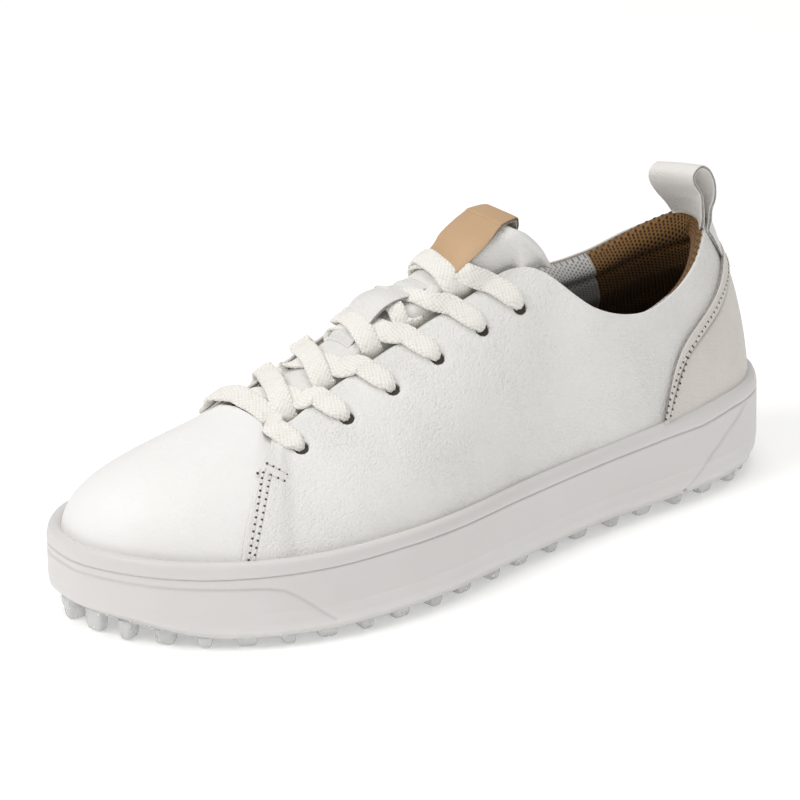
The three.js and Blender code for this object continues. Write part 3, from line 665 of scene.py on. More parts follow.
FRONT_STITCHES_OUTER = [
    [(13.90, 0.13), (13.878, 0.191), (13.815, 0.343), (13.742, 0.507), (13.674, 0.66), (13.536, 0.738)],
    [(13.536, 0.738), (13.35, 0.728), (13.171, 0.711), (12.974, 0.684)],
    [(12.974, 0.684), (13.03, 0.655), (13.085, 0.639)],
    [(13.085, 0.639), (13.278, 0.657), (13.446, 0.67)],
    [(13.446, 0.67), (13.523, 0.615), (13.632, 0.469), (13.712, 0.344), (13.794, 0.188), (13.82, 0.13)],
    [(13.8, 0.663), (13.731, 0.697), (13.66, 0.72)],
]
HEEL_STITCHES = [
    [(0.0, 0.73), (1.263, 0.722), (1.977, 0.718), (2.544, 0.686), (2.907, 0.649), (3.24, 0.585),
     (3.48, 0.473), (3.604, 0.394), (3.715, 0.313), (3.813, 0.229), (3.86, 0.17)],
    [(3.12, 0.62), (3.164, 0.613), (3.455, 0.542), (3.639, 0.444), (3.778, 0.351), (3.886, 0.24),
     (3.93, 0.17)],
]


def mirrored_front(line):
    """The same row on the inner side's front seam, kept at the same distance from the edge."""
    return [(seam_inner(v) + seam_outer(v) - u, v) for u, v in line]


def stitches(name, lines, height, materials):
    """Rows of stitches: a short strand of thread with a needle hole at its start, over and over; the hole is
    a dark stub that stands in as painted shade.
    """
    t = np.linspace(0, 1, 7)
    thickness = THREAD_RADIUS * np.maximum(1 - np.abs(2 * t - 1) ** 5, 0.12) ** 0.5
    angles = circle(8)
    c, s = np.cos(angles)[:, None], np.sin(angles)[:, None]
    vertices, faces, index = [], [], []

    def add(rings, material):
        start = sum(len(v) for v in vertices)
        made = tube_faces(len(rings), len(angles), start)
        vertices.append(np.concatenate(rings))
        faces.extend(made)
        index.extend([material] * len(made))

    for row in lines:
        path = polyline(row, STITCH_PITCH)
        for (u0, v0), (u1, v1) in zip(path, path[1:]):
            part = lerp(0.13, 0.87, t)
            u, v = lerp(u0, u1, part), lerp(v0, v1, part)
            centre = skin_at(u, v, height(u, v) + 0.34 * np.sin(math.pi * t) - 0.16)
            up = skin_normal(u, v)
            along = unit(np.gradient(centre, axis=0))
            side = unit(np.cross(up, along))
            up = np.cross(along, side)
            add([centre[k] + thickness[k] * (c * side[k] + s * up[k] * 0.85) for k in range(len(t))], 0)
            u, v = np.array([u0]), np.array([v0])
            hole = skin_at(u, v, height(u, v) - 0.12)[0]
            ring = c * side[0] + s * along[0]
            add([hole + up[0] * lift + radius * ring for lift, radius in HOLE_RINGS], 1)
    made = make_object(name, np.concatenate(vertices), faces, materials, "shoe", index)
    fix_normals(made)
    return made


EYELET_RADIUS = 2.8
EYELET_DEPTH = 1.0


def eyelet_dents(p, stations):
    """Depth of the punched holes at the points of a grid, and how much painted shade darkens their insides.
    """
    depth = np.zeros(p.shape[:2])
    for u in stations:
        d = np.linalg.norm(p - skin(u, EYELET_V), axis=2)
        hole = EYELET_DEPTH * smoothstep((EYELET_RADIUS + 0.3 - d) / 0.6)
        pulled_in = 0.35 * smoothstep((EYELET_RADIUS + 3 - d) / 3)
        depth = np.maximum(depth, np.maximum(hole, pulled_in))
    return depth, smoothstep((depth - 0.42) / 0.3)


def quarter(name, where, lift, stations, seam_rows, materials, count_u):
    """A quarter with its punched eyelets, its lap over the toe box and sunken seams; stations are in a."""
    a = steps(count_u, 262, False, True, near(stations, 0.017, 21))
    b = steps(74, 84, False, True, near([EYELET_V], 0.055, 25))
    holes = EYELETS_OUTER if "outer" in name else EYELETS_INNER

    def extra(u, v, flat, distance):
        shift = np.zeros(u.shape)
        for row in seam_rows:
            path = polyline(row, 0.7)
            curve = skin_at(path[:, 0], path[:, 1], OVERLAY)
            shift -= 0.28 * np.exp(-((line_distance(flat, curve) / 0.85) ** 2))
        depth, dark = eyelet_dents(skin(u, v), holes)
        toe = smoothstep((skin(u, v)[..., 0] - 235) / 40)
        # Painted shade: the insides of the eyelet dents go near black, as the shade in a punched hole.
        return shift - depth, {"mark": dark, "smooth": 0.5 * toe}

    return skin_panel(name, a, b, where, lambda u, v: lift(u, v) - LEATHER, lift, materials,
                      (0, 1, 0, 1), (0.55, 0.3), extra)


# ---------------------------------------------------------------- tongue
TONGUE_CENTRE = np.array([
    [250, -1, 64], [231, -1, 68.2], [216, -1, 75.6], [200, -1, 83.2], [180, -1, 91.5], [158.5, -1, 100.1],
    [140, -1, 108.2], [128, -1, 115.2], [120, -1, 119.6], [115.2, -1, 121.7],
])
TONGUE_DEPTH = -6.1
SHOULDER = [9, 9, 9, 9, 9, 9.2, 9.8, 10.3, 10.3, 10]
SHOULDER_FALL = [1, 1.6, 1.8, 1.9, 1.9, 1.9, 1.9, 1.8, 1.3, 1.2]
SHOULDER_BACK = [0, 0, 0, 0, 0, 0.3, 0.8, 1.2, 1.6, 1.8]
TOP_SIDES = {
    8: np.array([[106, 13, 99.5], [109.5, 14.5, 107.5], [114, 13.2, 114.8]]),
    9: np.array([[99, 16, 101], [103, 15.6, 110], [108.8, 13.4, 117.4]]),
}


def tongue_row(k):
    centre = TONGUE_CENTRE[k]
    s = k - 1
    shoulder = centre + [-SHOULDER_BACK[k], SHOULDER[k], -SHOULDER_FALL[k]]
    if k in TOP_SIDES:
        outer = TOP_SIDES[k]
        inner = outer * [1, -1, 1] - [0, 2, 0]
    elif k == 0:
        outer = np.array([skin_at(u, v, -5) for u, v in ((13.75, 0.7), (14.3, 0.84), (15.3, 0.92))])
        inner = np.array([skin_at(u, v, -5) for u, v in ((19.4, 0.7), (18.7, 0.84), (17.9, 0.92))])
    else:
        v = np.array([0.7, 0.85, 0.98])
        depth = np.array([TONGUE_DEPTH, TONGUE_DEPTH, -5.4])
        outer = skin_at(THROAT_OUTER - s, v, depth)
        inner = skin_at(THROAT_INNER + s, v, depth)
    other = shoulder * [1, -1, 1] - [0, 2, 0]
    return np.vstack([outer, shoulder, centre, other, inner[::-1]])


TONGUE_ROWS = np.array([tongue_row(k) for k in range(len(TONGUE_CENTRE))])
TONGUE_COLUMNS = TONGUE_ROWS.shape[1]


def tongue_point(s, w):
    s, w = np.broadcast_arrays(np.asarray(s, float), np.asarray(w, float))
    columns = [catmull(TONGUE_ROWS[:, c], s + 1, False) for c in range(TONGUE_COLUMNS)]
    t = np.clip(w, 0, 1) * (TONGUE_COLUMNS - 1)
    stack = np.stack([2 * columns[0] - columns[1], *columns, 2 * columns[-1] - columns[-2]], -2)
    k = np.minimum(np.floor(t).astype(int), TONGUE_COLUMNS - 2)
    f = (t - k)[..., None]
    a, b, c, d = (np.take_along_axis(stack, (k + m)[..., None, None], -2)[..., 0, :] for m in range(4))
    return cubic(a, b, c, d, f)


def tongue_normal(s, w):
    step = 0.03
    w = np.asarray(w, float)
    across = tongue_point(s, np.minimum(1, w + step)) - tongue_point(s, np.maximum(0, w - step))
    along = tongue_point(np.asarray(s) + step, w) - tongue_point(np.asarray(s) - step, w)
    return unit(np.cross(along, across))


def tongue_at(s, w, height):
    return tongue_point(s, w) + tongue_normal(s, w) * np.asarray(height, float)[..., None]


def fold(obj):
    """Bakes the piece's transform into its mesh."""
    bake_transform(obj)


def add_tongue(materials):
    s = steps(150, 170, False, True)
    w = steps(64, 60)
    grid_s, grid_w = np.meshgrid(s, w, indexing="ij")
    station = lerp(-1, 8, grid_s)
    thick = lerp(2.3, 5.6, smoothstep((station - 5.2) / 1.6))
    p = tongue_point(station, grid_w)
    distance = edge_distance(p, (0, 1, 1, 1))
    drop = rounding(distance, thick / 2)
    plump = 0.9 * smoothstep((station - 6) / 1.2) * np.sin(math.pi * grid_w) ** 0.5
    rim_line = 0.35 * np.exp(-(((distance - 4.2) / 0.7) ** 2)) * smoothstep((station - 5.6) / 0.6)
    top = tongue_at(station, grid_w, plump - drop - rim_line)
    low = tongue_at(station, grid_w, -thick + drop)
    tongue = shell("tongue_pad", top, low, materials, None, smooth=np.full(station.shape, 0.4))
    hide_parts("tongue", "tongue_lining", "tongue_flap", "tongue_flap_foam", "tongue_flap_lining")
    fold(tongue)
    return tongue


def strap(name, columns, count, thickness, edge, materials, taper_length=None):
    """A sheet through columns of points; it may start thin and reach its thickness after some points."""
    columns = np.stack(columns, 1)
    t = np.linspace(0, len(columns) - 1, count)
    mid = np.stack([catmull(columns[:, k], t, False) for k in range(columns.shape[1])], 1)
    normal = unit(np.cross(np.gradient(mid, axis=0), np.gradient(mid, axis=1)))
    full = smoothstep(t / taper_length)[:, None, None] if taper_length else 1.0
    drop = rounding(edge_distance(mid, (1, 1, 1, 1)), edge)[..., None]
    half = thickness / 2 * lerp(0.35, 1, full) - drop * full
    return shell(name, mid + normal * half, mid - normal * half, materials, None)


LABEL_SIDES = (0.385, 0.615)
LABEL_THICKNESS = 1.8


def add_label(materials):
    """A strap that comes out from under the top crossing, rolls over the tongue's top and ends behind it."""
    columns = []
    over = np.linspace(4.95, 7.55, 30)
    turn = np.radians([55, 90, 125])[:, None]
    for w in lerp(*LABEL_SIDES, steps(22, 22)):
        front = tongue_at(over, w, 1.7 + 1.2 * smoothstep((over - 5.3) / 0.6))
        crest, normal = tongue_point(8.0, w), tongue_normal(8.0, w)
        along = unit(crest - tongue_point(7.7, w))
        arc = crest - normal * 2.8 + along * 4.0 * np.sin(turn) + normal * 5.4 * np.cos(turn)
        back = tongue_at(np.array([7.8, 7.5, 7.2]), w, -7.0)
        columns.append(np.vstack([front[::3], arc, back]))
    label = strap("tongue_label_strap", columns, 110, LABEL_THICKNESS, 0.3, materials)
    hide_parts("tongue_label")
    fold(label)
    return label


KEEPER = (2.95, 4.15)
KEEPER_SIDES = (0.43, 0.62)
KEEPER_RISE = 4.7


def keeper_height(s):
    reach = np.clip((s - KEEPER[0]) / (KEEPER[1] - KEEPER[0]), 0, 1)
    return KEEPER_RISE * np.sin(math.pi * reach) ** 1.15


def add_keeper(materials):
    """A leather bridge over the crossing, welded to the tongue before and after it."""
    s = np.linspace(KEEPER[0] - 0.3, KEEPER[1] + 0.3, 120)
    w = lerp(*KEEPER_SIDES, steps(44, 22))
    grid_s, grid_w = np.meshgrid(s, w, indexing="ij")
    height = keeper_height(grid_s)
    flat = tongue_at(grid_s, grid_w, height)
    distance = edge_distance(flat, (0, 0, 1, 1))
    ends = np.clip((grid_s - s[0]) / 0.3, 0, 1) * np.clip((s[-1] - grid_s) / 0.3, 0, 1)
    drop = rounding(distance, 0.4)
    top = tongue_at(grid_s, grid_w, height + 0.1 + 1.35 * smoothstep(ends * 1.4) - drop)
    low = tongue_at(grid_s, grid_w, height - 0.35 + drop * 0.5)
    keeper = shell("lace_keeper", top, low, materials)
    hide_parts("tongue_lace_keeper")
    return keeper


# ---------------------------------------------------------------- pull tab
LOOP_SIDE = np.array([
    [13.4, 99.6], [14.6, 103.5], [15.4, 108], [16.9, 114], [19.6, 119.3], [23.5, 121.6], [27, 119.4],
    [26.8, 115.5], [23.3, 110.3], [19.6, 104.8], [17.3, 99.8],
])
TAB_WIDTH = 19
TAB_THICKNESS = 1.6
# Half the tab's width in ribs, where it lies on the heel.
TAB_REACH = 1.02


def add_pull_tab(materials):
    """A folded strip: one end lies on the heel, the loop stands up, the other end goes down inside."""
    columns = []
    x, z = LOOP_SIDE.T
    outside, inside = np.array([0.8, 0.85, 0.9, 0.95, 0.985]), np.array([0.985, 0.95, 0.9, 0.86])
    for k in lerp(-1, 1, steps(16, TAB_WIDTH)):
        y = k * TAB_WIDTH / 2
        back = skin_at(TAB_REACH * k, outside, 0.45 + TAB_THICKNESS / 2)
        bow = 0.035 * y * y * (1 - 0.7 * smoothstep((z - 99) / 14))
        turn = y * smoothstep((z - 99) / 12)
        loop = np.column_stack([x + bow - 0.36 * turn, np.full(len(x), y), z + 0.11 * turn])
        front = skin_at(TAB_REACH * k, inside, -LEATHER - 0.3 - TAB_THICKNESS / 2)
        columns.append(np.vstack([back, loop, front]))
    tab = strap("pull_tab", columns, 170, TAB_THICKNESS, 0.35, materials, 3.2)
    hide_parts("pull_tab_loop", "pull_tab_back_leg", "pull_tab_front_leg")
    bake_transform(tab)
    return tab


# ---------------------------------------------------------------- lace
LACE_WIDTH = 8.4
LACE_THICKNESS = 1.8
# The lace's height under and over the leather, and the pitch of its stitches.
UNDER = -4.75
OVER = 1.3
YARN = 0.92
# How far, in ribs, each strand leans towards the toe where it leaves its eyelet, and where it dives under.
LEAD_OUTER = [0.42, 0.4, 0.4, 0.45, 0.52, 0.75]
LEAD_INNER = [0.5, 0.25, 0.42, 0.6, 1.0, 1.0]
DIVE = [0.1, 0.13, 0.0, 0.35, 0.25]


def stop(centre, side, width=LACE_WIDTH, thickness=LACE_THICKNESS):
    return np.concatenate([centre, side, [width, thickness]])


def on_skin(u, v, height, width=LACE_WIDTH, thickness=LACE_THICKNESS):
    along = unit(skin(u + 0.05, v) - skin(u - 0.05, v))
    inside = u > THROAT_OUTER + 3
    lift = (lift_inner(u, v) if inside else lift_outer(u, v)) if height > 0 else 0
    return stop(skin_at(u, v, height + lift), -along if inside else along, width, thickness)


def on_tongue(s, w, height, towards, width):
    step = 0.02
    across = (tongue_point(s, w + step) - tongue_point(s, w - step)) * towards
    back = tongue_point(s + step, w) - tongue_point(s - step, w)
    slope = unit(across) + unit(back) * 0.45
    return stop(tongue_at(s, w, height), unit(np.cross(np.cross(back, across), slope)), width)


def through_eyelet(row, outer):
    """From the throat's edge down into the eyelet; the strand leans towards the toe as it leaves the hole."""
    u = (EYELETS_OUTER if outer else EYELETS_INNER)[row]
    lead = LEAD_OUTER[row] if outer else -LEAD_INNER[row]
    made = []
    for v, height, width, thick in (
        (0.985, OVER + (0.5 if outer else 1.3), LACE_WIDTH, LACE_THICKNESS), (0.93, OVER + 0.05, 8.5, 1.9),
        (0.88, OVER + 0.1, 8.6, 2.3), (0.848, OVER, 7.6, 2.9), (0.824, 0.7, 5.2, 3.2),
        (0.811, -1.0, 3.6, 2.6), (0.806, -3, 3.0, 2.0),
    ):
        made.append(on_skin(u + lead * np.clip((v - 0.8) / 0.185, 0, 1), v, height, width, thick))
    return made


def below_eyelet(u):
    """Up from an eyelet's underside to the throat's edge."""
    return [on_skin(u, 0.835, UNDER - 0.35, 4.4), on_skin(u, 0.9, UNDER, 7), on_skin(u, 1, UNDER - 0.1)]


def crossing(k, outward):
    """One strand, from below row k's eyelet on one side over the tongue to row k + 1 on the other."""
    rows = (EYELETS_INNER, EYELETS_OUTER) if outward else (EYELETS_OUTER, EYELETS_INNER)
    lead = (LEAD_OUTER if outward else LEAD_INNER)[k + 1]
    start, end = LACE_ROWS[k] - DIVE[k], LACE_ROWS[k + 1] - lead
    towards = -1 if outward else 1
    middle = 1.15 if outward else 3.1
    width = 6.6 if k == 3 else LACE_WIDTH

    def at(w, height):
        across = 1 - w if outward else w
        return on_tongue(lerp(start, end, (w - 0.25) / 0.5), across, height, towards, width)

    return [
        *below_eyelet(rows[0][k]), at(0.345, 1.15), at(0.42, lerp(1.15, middle, 0.75)), at(0.5, middle),
        at(0.58, middle + 0.15), at(0.64, middle + 0.9), *through_eyelet(k + 1, outward),
    ]


BAR = [(225.6, 9, 70.6), (226.2, 5, 72.6), (227, 0, 74.3), (228.2, -5, 75.5), (229.4, -10, 76.3)]


def bar():
    """The straight strand in front, from one bottom eyelet to the other along the toe box's edge."""
    slant = unit(np.array([-0.9, -0.12, 0.4]))
    over = [stop(np.array(p, float), slant) for p in BAR]
    return [*through_eyelet(0, True)[::-1], *over, *through_eyelet(0, False)]


TUCK = [
    (0, 0.775, -4.5, 4.8), (0, 0.71, UNDER, 7), (0, 0.6, UNDER - 0.2, 8), (0, 0.5, UNDER - 0.2, 8),
    (0.06, 0.42, UNDER - 0.2, 8), (0.25, 0.35, UNDER - 0.2, 8), (0.6, 0.305, UNDER - 0.2, 8),
    (1.1, 0.285, UNDER - 0.2, 8), (1.8, 0.28, UNDER - 0.2, 8), (2.6, 0.28, UNDER - 0.2, 8),
    (3, 0.28, UNDER - 0.7, 7), (3.3, 0.28, UNDER - 1.3, 3.2),
]


def tucked_end(u, forward):
    spots = np.array([skin_at(u + forward * ahead, v, height) for ahead, v, height, _ in TUCK])
    made = []
    for i, (ahead, v, _, width) in enumerate(TUCK):
        along = spots[min(i + 1, len(TUCK) - 1)] - spots[max(i - 1, 0)]
        made.append(stop(spots[i], unit(np.cross(along, skin_normal(u + forward * ahead, v))), width))
    return made


def lace_route(outer):
    stops = []
    last = len(LACE_ROWS) - 1
    for k in range(last):
        stops += crossing(k, (k % 2 == 0) != outer)
    end_outer = outer if last % 2 == 0 else not outer
    u = (EYELETS_OUTER if end_outer else EYELETS_INNER)[last]
    return stops + tucked_end(u, 1 if end_outer else -1)


def lace_sections():
    """The whole lace as dense sections: centre, side, normal, width, thickness and length so far."""
    stops = np.array(lace_route(True)[::-1] + bar() + lace_route(False))
    for i in range(1, len(stops)):
        if stops[i, 3:6] @ stops[i - 1, 3:6] < 0:
            stops[i, 3:6] *= -1
    t = np.linspace(0, len(stops) - 1, 40 * len(stops))
    rough = catmull(stops[:, :3], t, False)
    run = np.append(0, np.cumsum(np.linalg.norm(np.diff(rough, axis=0), axis=1)))
    tuck = len(TUCK)
    first = np.interp(tuck, t, run)
    last = np.interp(len(stops) - 1 - tuck, t, run)
    wanted = np.concatenate([
        np.arange(0, first, 1.2), np.arange(first, last, 0.33), np.arange(last, run[-1], 1.2), run[-1:],
    ])
    t = np.interp(wanted, run, t)
    centre = catmull(stops[:, :3], t, False)
    side = np.stack([np.interp(t, np.arange(len(stops)), stops[:, 3 + k]) for k in range(3)], 1)
    width = catmull(np.repeat(stops[:, 6:7], 3, 1), t, False)[:, 0]
    thick = catmull(np.repeat(stops[:, 7:8], 3, 1), t, False)[:, 0]
    along = unit(np.gradient(centre, axis=0))
    side = unit(side - along * (side * along).sum(1, keepdims=True))
    return centre, side, np.cross(along, side), width, thick, wanted


def braid(along, across):
    """Relief of a flat braid, 0 between the stitches and 1 on them; both inputs count stitches."""
    a, b = (along + across) / 2, (along - across) / 2
    cell = (np.floor(a) + np.floor(b)) % 2
    fa, fb = a - np.floor(a), b - np.floor(b)
    first = np.sin(math.pi * fb) * (0.62 + 0.38 * np.sin(math.pi * fa))
    second = np.sin(math.pi * fa) * (0.62 + 0.38 * np.sin(math.pi * fb))
    return np.sqrt(np.clip(np.where(cell > 0, first, second), 0, 1))


def add_lace(material):
    centre, side, normal, width, thick, run = lace_sections()
    angle = circle(64)
    c, s = np.cos(angle), np.sin(angle)
    flat_x = np.sign(c) * np.abs(c) ** 0.62
    flat_y = np.sign(s) * np.abs(s) ** 0.75
    half, thin = (width / 2)[:, None], (thick / 2)[:, None]
    relief = braid((run / YARN)[:, None], half * flat_x / YARN)
    depth = 0.5 * (relief - 0.55)
    x = flat_x * half + depth * c * 0.9
    y = flat_y * thin + depth * np.sign(s) * np.abs(s) ** 0.3
    p = centre[:, None] + side[:, None] * x[..., None] + normal[:, None] * y[..., None]
    faces = tube_faces(len(run), len(angle))
    lace = make_object("lace_braid", p.reshape(-1, 3), faces, material, "shoe", None, relief=relief)
    fix_normals(lace)
    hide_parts("lace")
    return lace


AGLET = [(0.3, 1.1), (0.5, 1.45), (3, 1.5), (15, 1.48), (17.6, 1.42), (18.1, 1.2), (18.3, 0.8)]


def add_aglets(material):
    """A turned sleeve on each end of the lace; its profile is distance past the end, then radius."""
    angle = circle(20)[:, None]
    for side, start_outer in (("outer", True), ("inner", False)):
        route = lace_route(start_outer)
        end, before = route[-1][:3], route[-2][:3]
        direction = unit(end - before)
        across = unit(np.cross(direction, [0.31, 0.2, 0.93]))
        ring = np.cos(angle) * across + np.sin(angle) * np.cross(direction, across)
        points = np.concatenate([end + direction * x + ring * r for x, r in AGLET])
        tip = make_object(f"aglet_{side}_sleeve", points, tube_faces(len(AGLET), len(angle)), material)
        fix_normals(tip)
        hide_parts(f"aglet_{side}")


# ---------------------------------------------------------------- sole
CUP_FLOOR = 23.9
# Pairs of inset and height: the wall's foot, the curve above it, then the groove and the lip.
FOOT_LEVELS = [(3.4, 4.3), (2.6, 4.5)]
WALL_CURVE = [(2.6, 5.6), (1.9, 6.6), (1.1, 8), (0.5, 10), (0.15, 13), (0.03, 14.5)]
LIP_LEVELS = [
    (0, 27.4), (0, 28.2), (0.03, 28.6), (0.2, 28.85), (0.5, 29.05), (0.5, 29.15), (0.2, 29.35), (0.03, 29.6),
    (0, 30.4), (0.15, 31.6), (0.5, 33), (0.85, 33.8), (1.4, 34.4), (2.1, 34.8), (3, 34.9), (4.2, 34.5),
    (5.4, 33.6), (6.5, 32), (6.8, CUP_FLOOR),
]
GROOVE = 29.1
# Pairs of a place along the outline and a height: the main groove and the fine lines in the wall.
GROOVE_HEIGHT = [
    (0, 29.0), (2.89, 29.6), (3.42, 28.6), (4.05, 29.4), (4.83, 29.7), (6.29, 30.0), (7.9, 30.4),
    (9.09, 29.7), (10.43, 28.7), (12.67, 28.1), (16, 28.1), (18.5, 29.7), (23, 29.4), (26, 29.0),
]
SIDE_LINE = [
    (8.82, 8.6), (9.10, 15.7), (9.31, 20.7), (9.46, 23.4), (9.66, 24.8), (9.99, 25.1), (11, 25.1),
    (12.2, 25.2), (13.2, 25.2), (14.2, 25.2), (15.2, 25.1), (16.4, 24.8), (16.8, 23.4), (17.0, 20.7),
    (17.2, 15.7), (17.5, 8.6),
]
HEEL_LINES = [
    [(3.64, 5.7), (3.46, 11.9), (3.23, 18.7), (2.96, 22.9), (2.39, 28.6)],
    [(22.6, 5.7), (22.8, 11.9), (23.0, 18.7), (23.3, 22.9), (23.8, 28.6)],
]


def outline(t, inset, z):
    """The sole's outline at t points along it, moved inwards, with the heel's lip raised."""
    p = np.column_stack([SOLE_OUTLINE, np.zeros(len(SOLE_OUTLINE))])
    point = catmull(p, t, True)
    along = unit(catmull(p, t + 0.02, True) - catmull(p, t - 0.02, True))
    inset, z = np.broadcast_arrays(np.asarray(inset, float), np.asarray(z, float))
    rise = 4.5 * smoothstep((110 - point[..., 0]) / 100) * np.clip((z - 20) / 10, 0, 1)
    return np.stack([
        point[..., 0] + along[..., 1] * inset, point[..., 1] - along[..., 0] * inset, z + rise,
    ], -1)


def even_outline(step):
    """Places along the outline that are step mm apart."""
    n = len(SOLE_OUTLINE)
    t = np.linspace(0, n, 6000)
    p = outline(t, 0, 0)
    run = np.append(0, np.cumsum(np.linalg.norm(np.diff(p, axis=0), axis=1)))
    return np.interp(np.linspace(0, run[-1], int(run[-1] / step), endpoint=False), run, t)


TOE_SPRING = 5.6


def toe_lift(x, z):
    """The sole's bottom edge springs up towards the toe."""
    return TOE_SPRING * smoothstep((x - 270) / 35) * smoothstep((13 - z) / 9)


def add_cup(material):
    """The cup: rings from its foot up the wall, over the lip and down inside, with lines pressed into it."""
    t = even_outline(0.62)
    heights = np.concatenate([np.arange(14.5, 27.2, 0.6), np.arange(24.0, 26.2, 0.22)])
    wall = [(0, z) for z in np.unique(np.round(heights, 2))]
    curve_inset, curve_z = np.array(WALL_CURVE).T
    low = [(np.interp(z, curve_z, curve_inset), z) for z in np.arange(5.7, 14.4, 0.62)]
    levels = np.array([*FOOT_LEVELS, *low, *wall, *LIP_LEVELS])
    grid_t, inset = np.meshgrid(t, levels[:, 0], indexing="ij")
    z = np.broadcast_to(levels[:, 1], inset.shape).copy()
    groove = np.interp(t, *np.array(GROOVE_HEIGHT).T)[:, None] - GROOVE
    z = z + groove * np.clip((z - 20) / 7, 0, 1) * np.clip((36 - z) / 5, 0, 1)
    z = z + toe_lift(outline(grid_t, 0, 0)[..., 0], z)
    run = np.append(0, np.cumsum(np.linalg.norm(np.diff(outline(t, 0, 0), axis=0), axis=1)))
    flat = np.stack([np.broadcast_to(run[:, None], z.shape), z, np.zeros(z.shape)], -1)
    carve = np.zeros(z.shape)
    for points in (SIDE_LINE, *HEEL_LINES):
        points = np.array(points)
        dense = np.linspace(0, len(points) - 1, 500)
        at = np.column_stack([np.interp(dense, np.arange(len(points)), points[:, k]) for k in (0, 1)])
        curve = np.column_stack([np.interp(at[:, 0], t, run), at[:, 1], np.zeros(len(at))])
        carve = np.maximum(carve, np.exp(-((line_distance(flat, curve) / 0.62) ** 2)))
    main = np.exp(-(((levels[:, 1] - GROOVE) / 0.3) ** 2))[None, :] * (inset < 2)
    inset = inset + 0.4 * carve
    p = outline(grid_t, inset, z)
    faces = rim_stack_faces(len(t), len(levels))
    # The pressed lines and the main groove get painted shade through the vertex attribute.
    cup = make_object("sole_cup", p.reshape(-1, 3), faces, material, mark=0.22 * np.maximum(carve, main))
    fix_normals(cup)
    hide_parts("midsole_cup")


LUG_PITCH = 18.5
EDGE_LUG_PITCH = 16.2
LUG_ROWS = 15
LUG_MARGIN = 7.2
LUG_HALF_LENGTH = 4.4
LUG_HALF_WIDTH = 2.9
# Pairs of inset and height, then of scale and height.
PLATE_LEVELS = [(3.6, 4.1), (2.9, 4.3), (2.6, 4.8), (2.6, 6.1)]
LUG_LEVELS = [(1.0, 4.9), (0.97, 3.7), (0.9, 2.1), (0.8, 0.9), (0.72, 0.25), (0.6, 0.0)]


def lug_places():
    """A row of lugs round the edge, then staggered rows inside it: x, y and how far each is turned."""
    t = even_outline(EDGE_LUG_PITCH)
    along = outline(t + 0.02, 0, 0) - outline(t - 0.02, 0, 0)
    edge = outline(t, LUG_MARGIN, 0)
    heading = np.arctan2(along[:, 1], along[:, 0])
    places = [(x, y, h + math.pi / 2 * (k % 2)) for k, ((x, y, _), h) in enumerate(zip(edge, heading))]
    dense = outline(np.linspace(0, len(SOLE_OUTLINE), 1200), 0, 0)
    for row in range(LUG_ROWS):
        x = 20 + row * LUG_PITCH
        near_y = dense[np.abs(dense[:, 0] - x) < 1.5][:, 1]
        low, high = near_y.min() + 2.6 * LUG_MARGIN, near_y.max() - 2.6 * LUG_MARGIN
        across = max(1, round((high - low) / LUG_PITCH) + 1)
        for k in range(across):
            y = lerp(low, high, k / (across - 1)) if across > 1 else (low + high) / 2
            places.append((x, y, ((row + k) % 2) * math.pi / 2 + (row % 3) * 0.15))
    return places


def add_outsole(material):
    """The clear plate and its blunt, tapered lugs, one moulding."""
    t = even_outline(2.2)
    rings = np.stack([outline(t, inset, z) for inset, z in PLATE_LEVELS], 1)
    rings[..., 2] += toe_lift(rings[..., 0], 5.0)
    vertices = [rings.reshape(-1, 3)]
    faces = rim_stack_faces(len(t), len(PLATE_LEVELS))
    angle = circle(28)
    c, s = np.cos(angle), np.sin(angle)
    shape = np.column_stack([
        np.sign(c) * np.abs(c) ** 0.5 * LUG_HALF_LENGTH, np.sign(s) * np.abs(s) ** 0.5 * LUG_HALF_WIDTH,
    ])
    count = len(vertices[0])
    for x, y, turn in lug_places():
        c, s = math.cos(turn), math.sin(turn)
        spun = shape @ np.array([[c, s], [-s, c]])
        lift = toe_lift(x, 5.0)
        vertices += [
            np.column_stack([spun * scale + [x, y], np.full(len(angle), z + (lift if z > 3 else 0))])
            for scale, z in LUG_LEVELS
        ]
        faces += tube_faces(len(LUG_LEVELS), len(angle), count)
        count += len(LUG_LEVELS) * len(angle)
    sole = make_object("outsole_lugs", np.concatenate(vertices), faces, material)
    fix_normals(sole)
    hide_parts("outsole_plate")


# The footbed's rings: v on the skin, distance inside it and height.
LINER_RINGS = [
    (0, -4.1, 24), (0.02, -4.1, 25.5), (0.06, -4.1, 28.6), (0.06, -4.5, 29.2), (0.06, -6.5, 29.2),
    (0.06, -10, 28.0), (0.06, -14, 27.2),
]


def add_sockliner(material):
    """The footbed: a thin dished layer of fabric over foam that fills the upper from wall to wall."""
    u = np.linspace(0, RIB_COUNT, 264, endpoint=False)
    rings = []
    for v, edge, z in LINER_RINGS:
        ring = skin_at(u, np.full(len(u), v), edge)
        ring[:, 2] = z
        rings.append(ring)
    centre = np.column_stack([np.clip(rings[-1][:, 0], 20, 270), np.zeros(len(u)), np.full(len(u), 27.0)])
    rings += [lerp(rings[-1], centre, k) for k in (0.2, 0.4, 0.6, 0.8, 0.92)]
    grid = np.stack(rings, 1)
    liner = make_object("footbed", grid.reshape(-1, 3), rim_stack_faces(len(u), len(rings)), material)
    fix_normals(liner)
    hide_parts("sockliner", "strobel_board")


# ---------------------------------------------------------------- linings
def knit_relief(p, pitch):
    """A spacer knit over a grid: 1 on the yarns, 0 in the holes, from the distances along the grid."""
    gap_i = np.linalg.norm(np.diff(p, axis=0), axis=2).mean(1)
    gap_j = np.linalg.norm(np.diff(p, axis=1), axis=2).mean(0)
    a = np.append(0, np.cumsum(gap_i))[:, None] / pitch
    b = np.append(0, np.cumsum(gap_j))[None, :] / pitch
    b = b + 0.5 * (np.floor(a) % 2)
    hole = np.sin(math.pi * (a - np.floor(a))) * np.sin(math.pi * (b - np.floor(b)))
    return 1 - smoothstep((hole - 0.2) / 0.6)


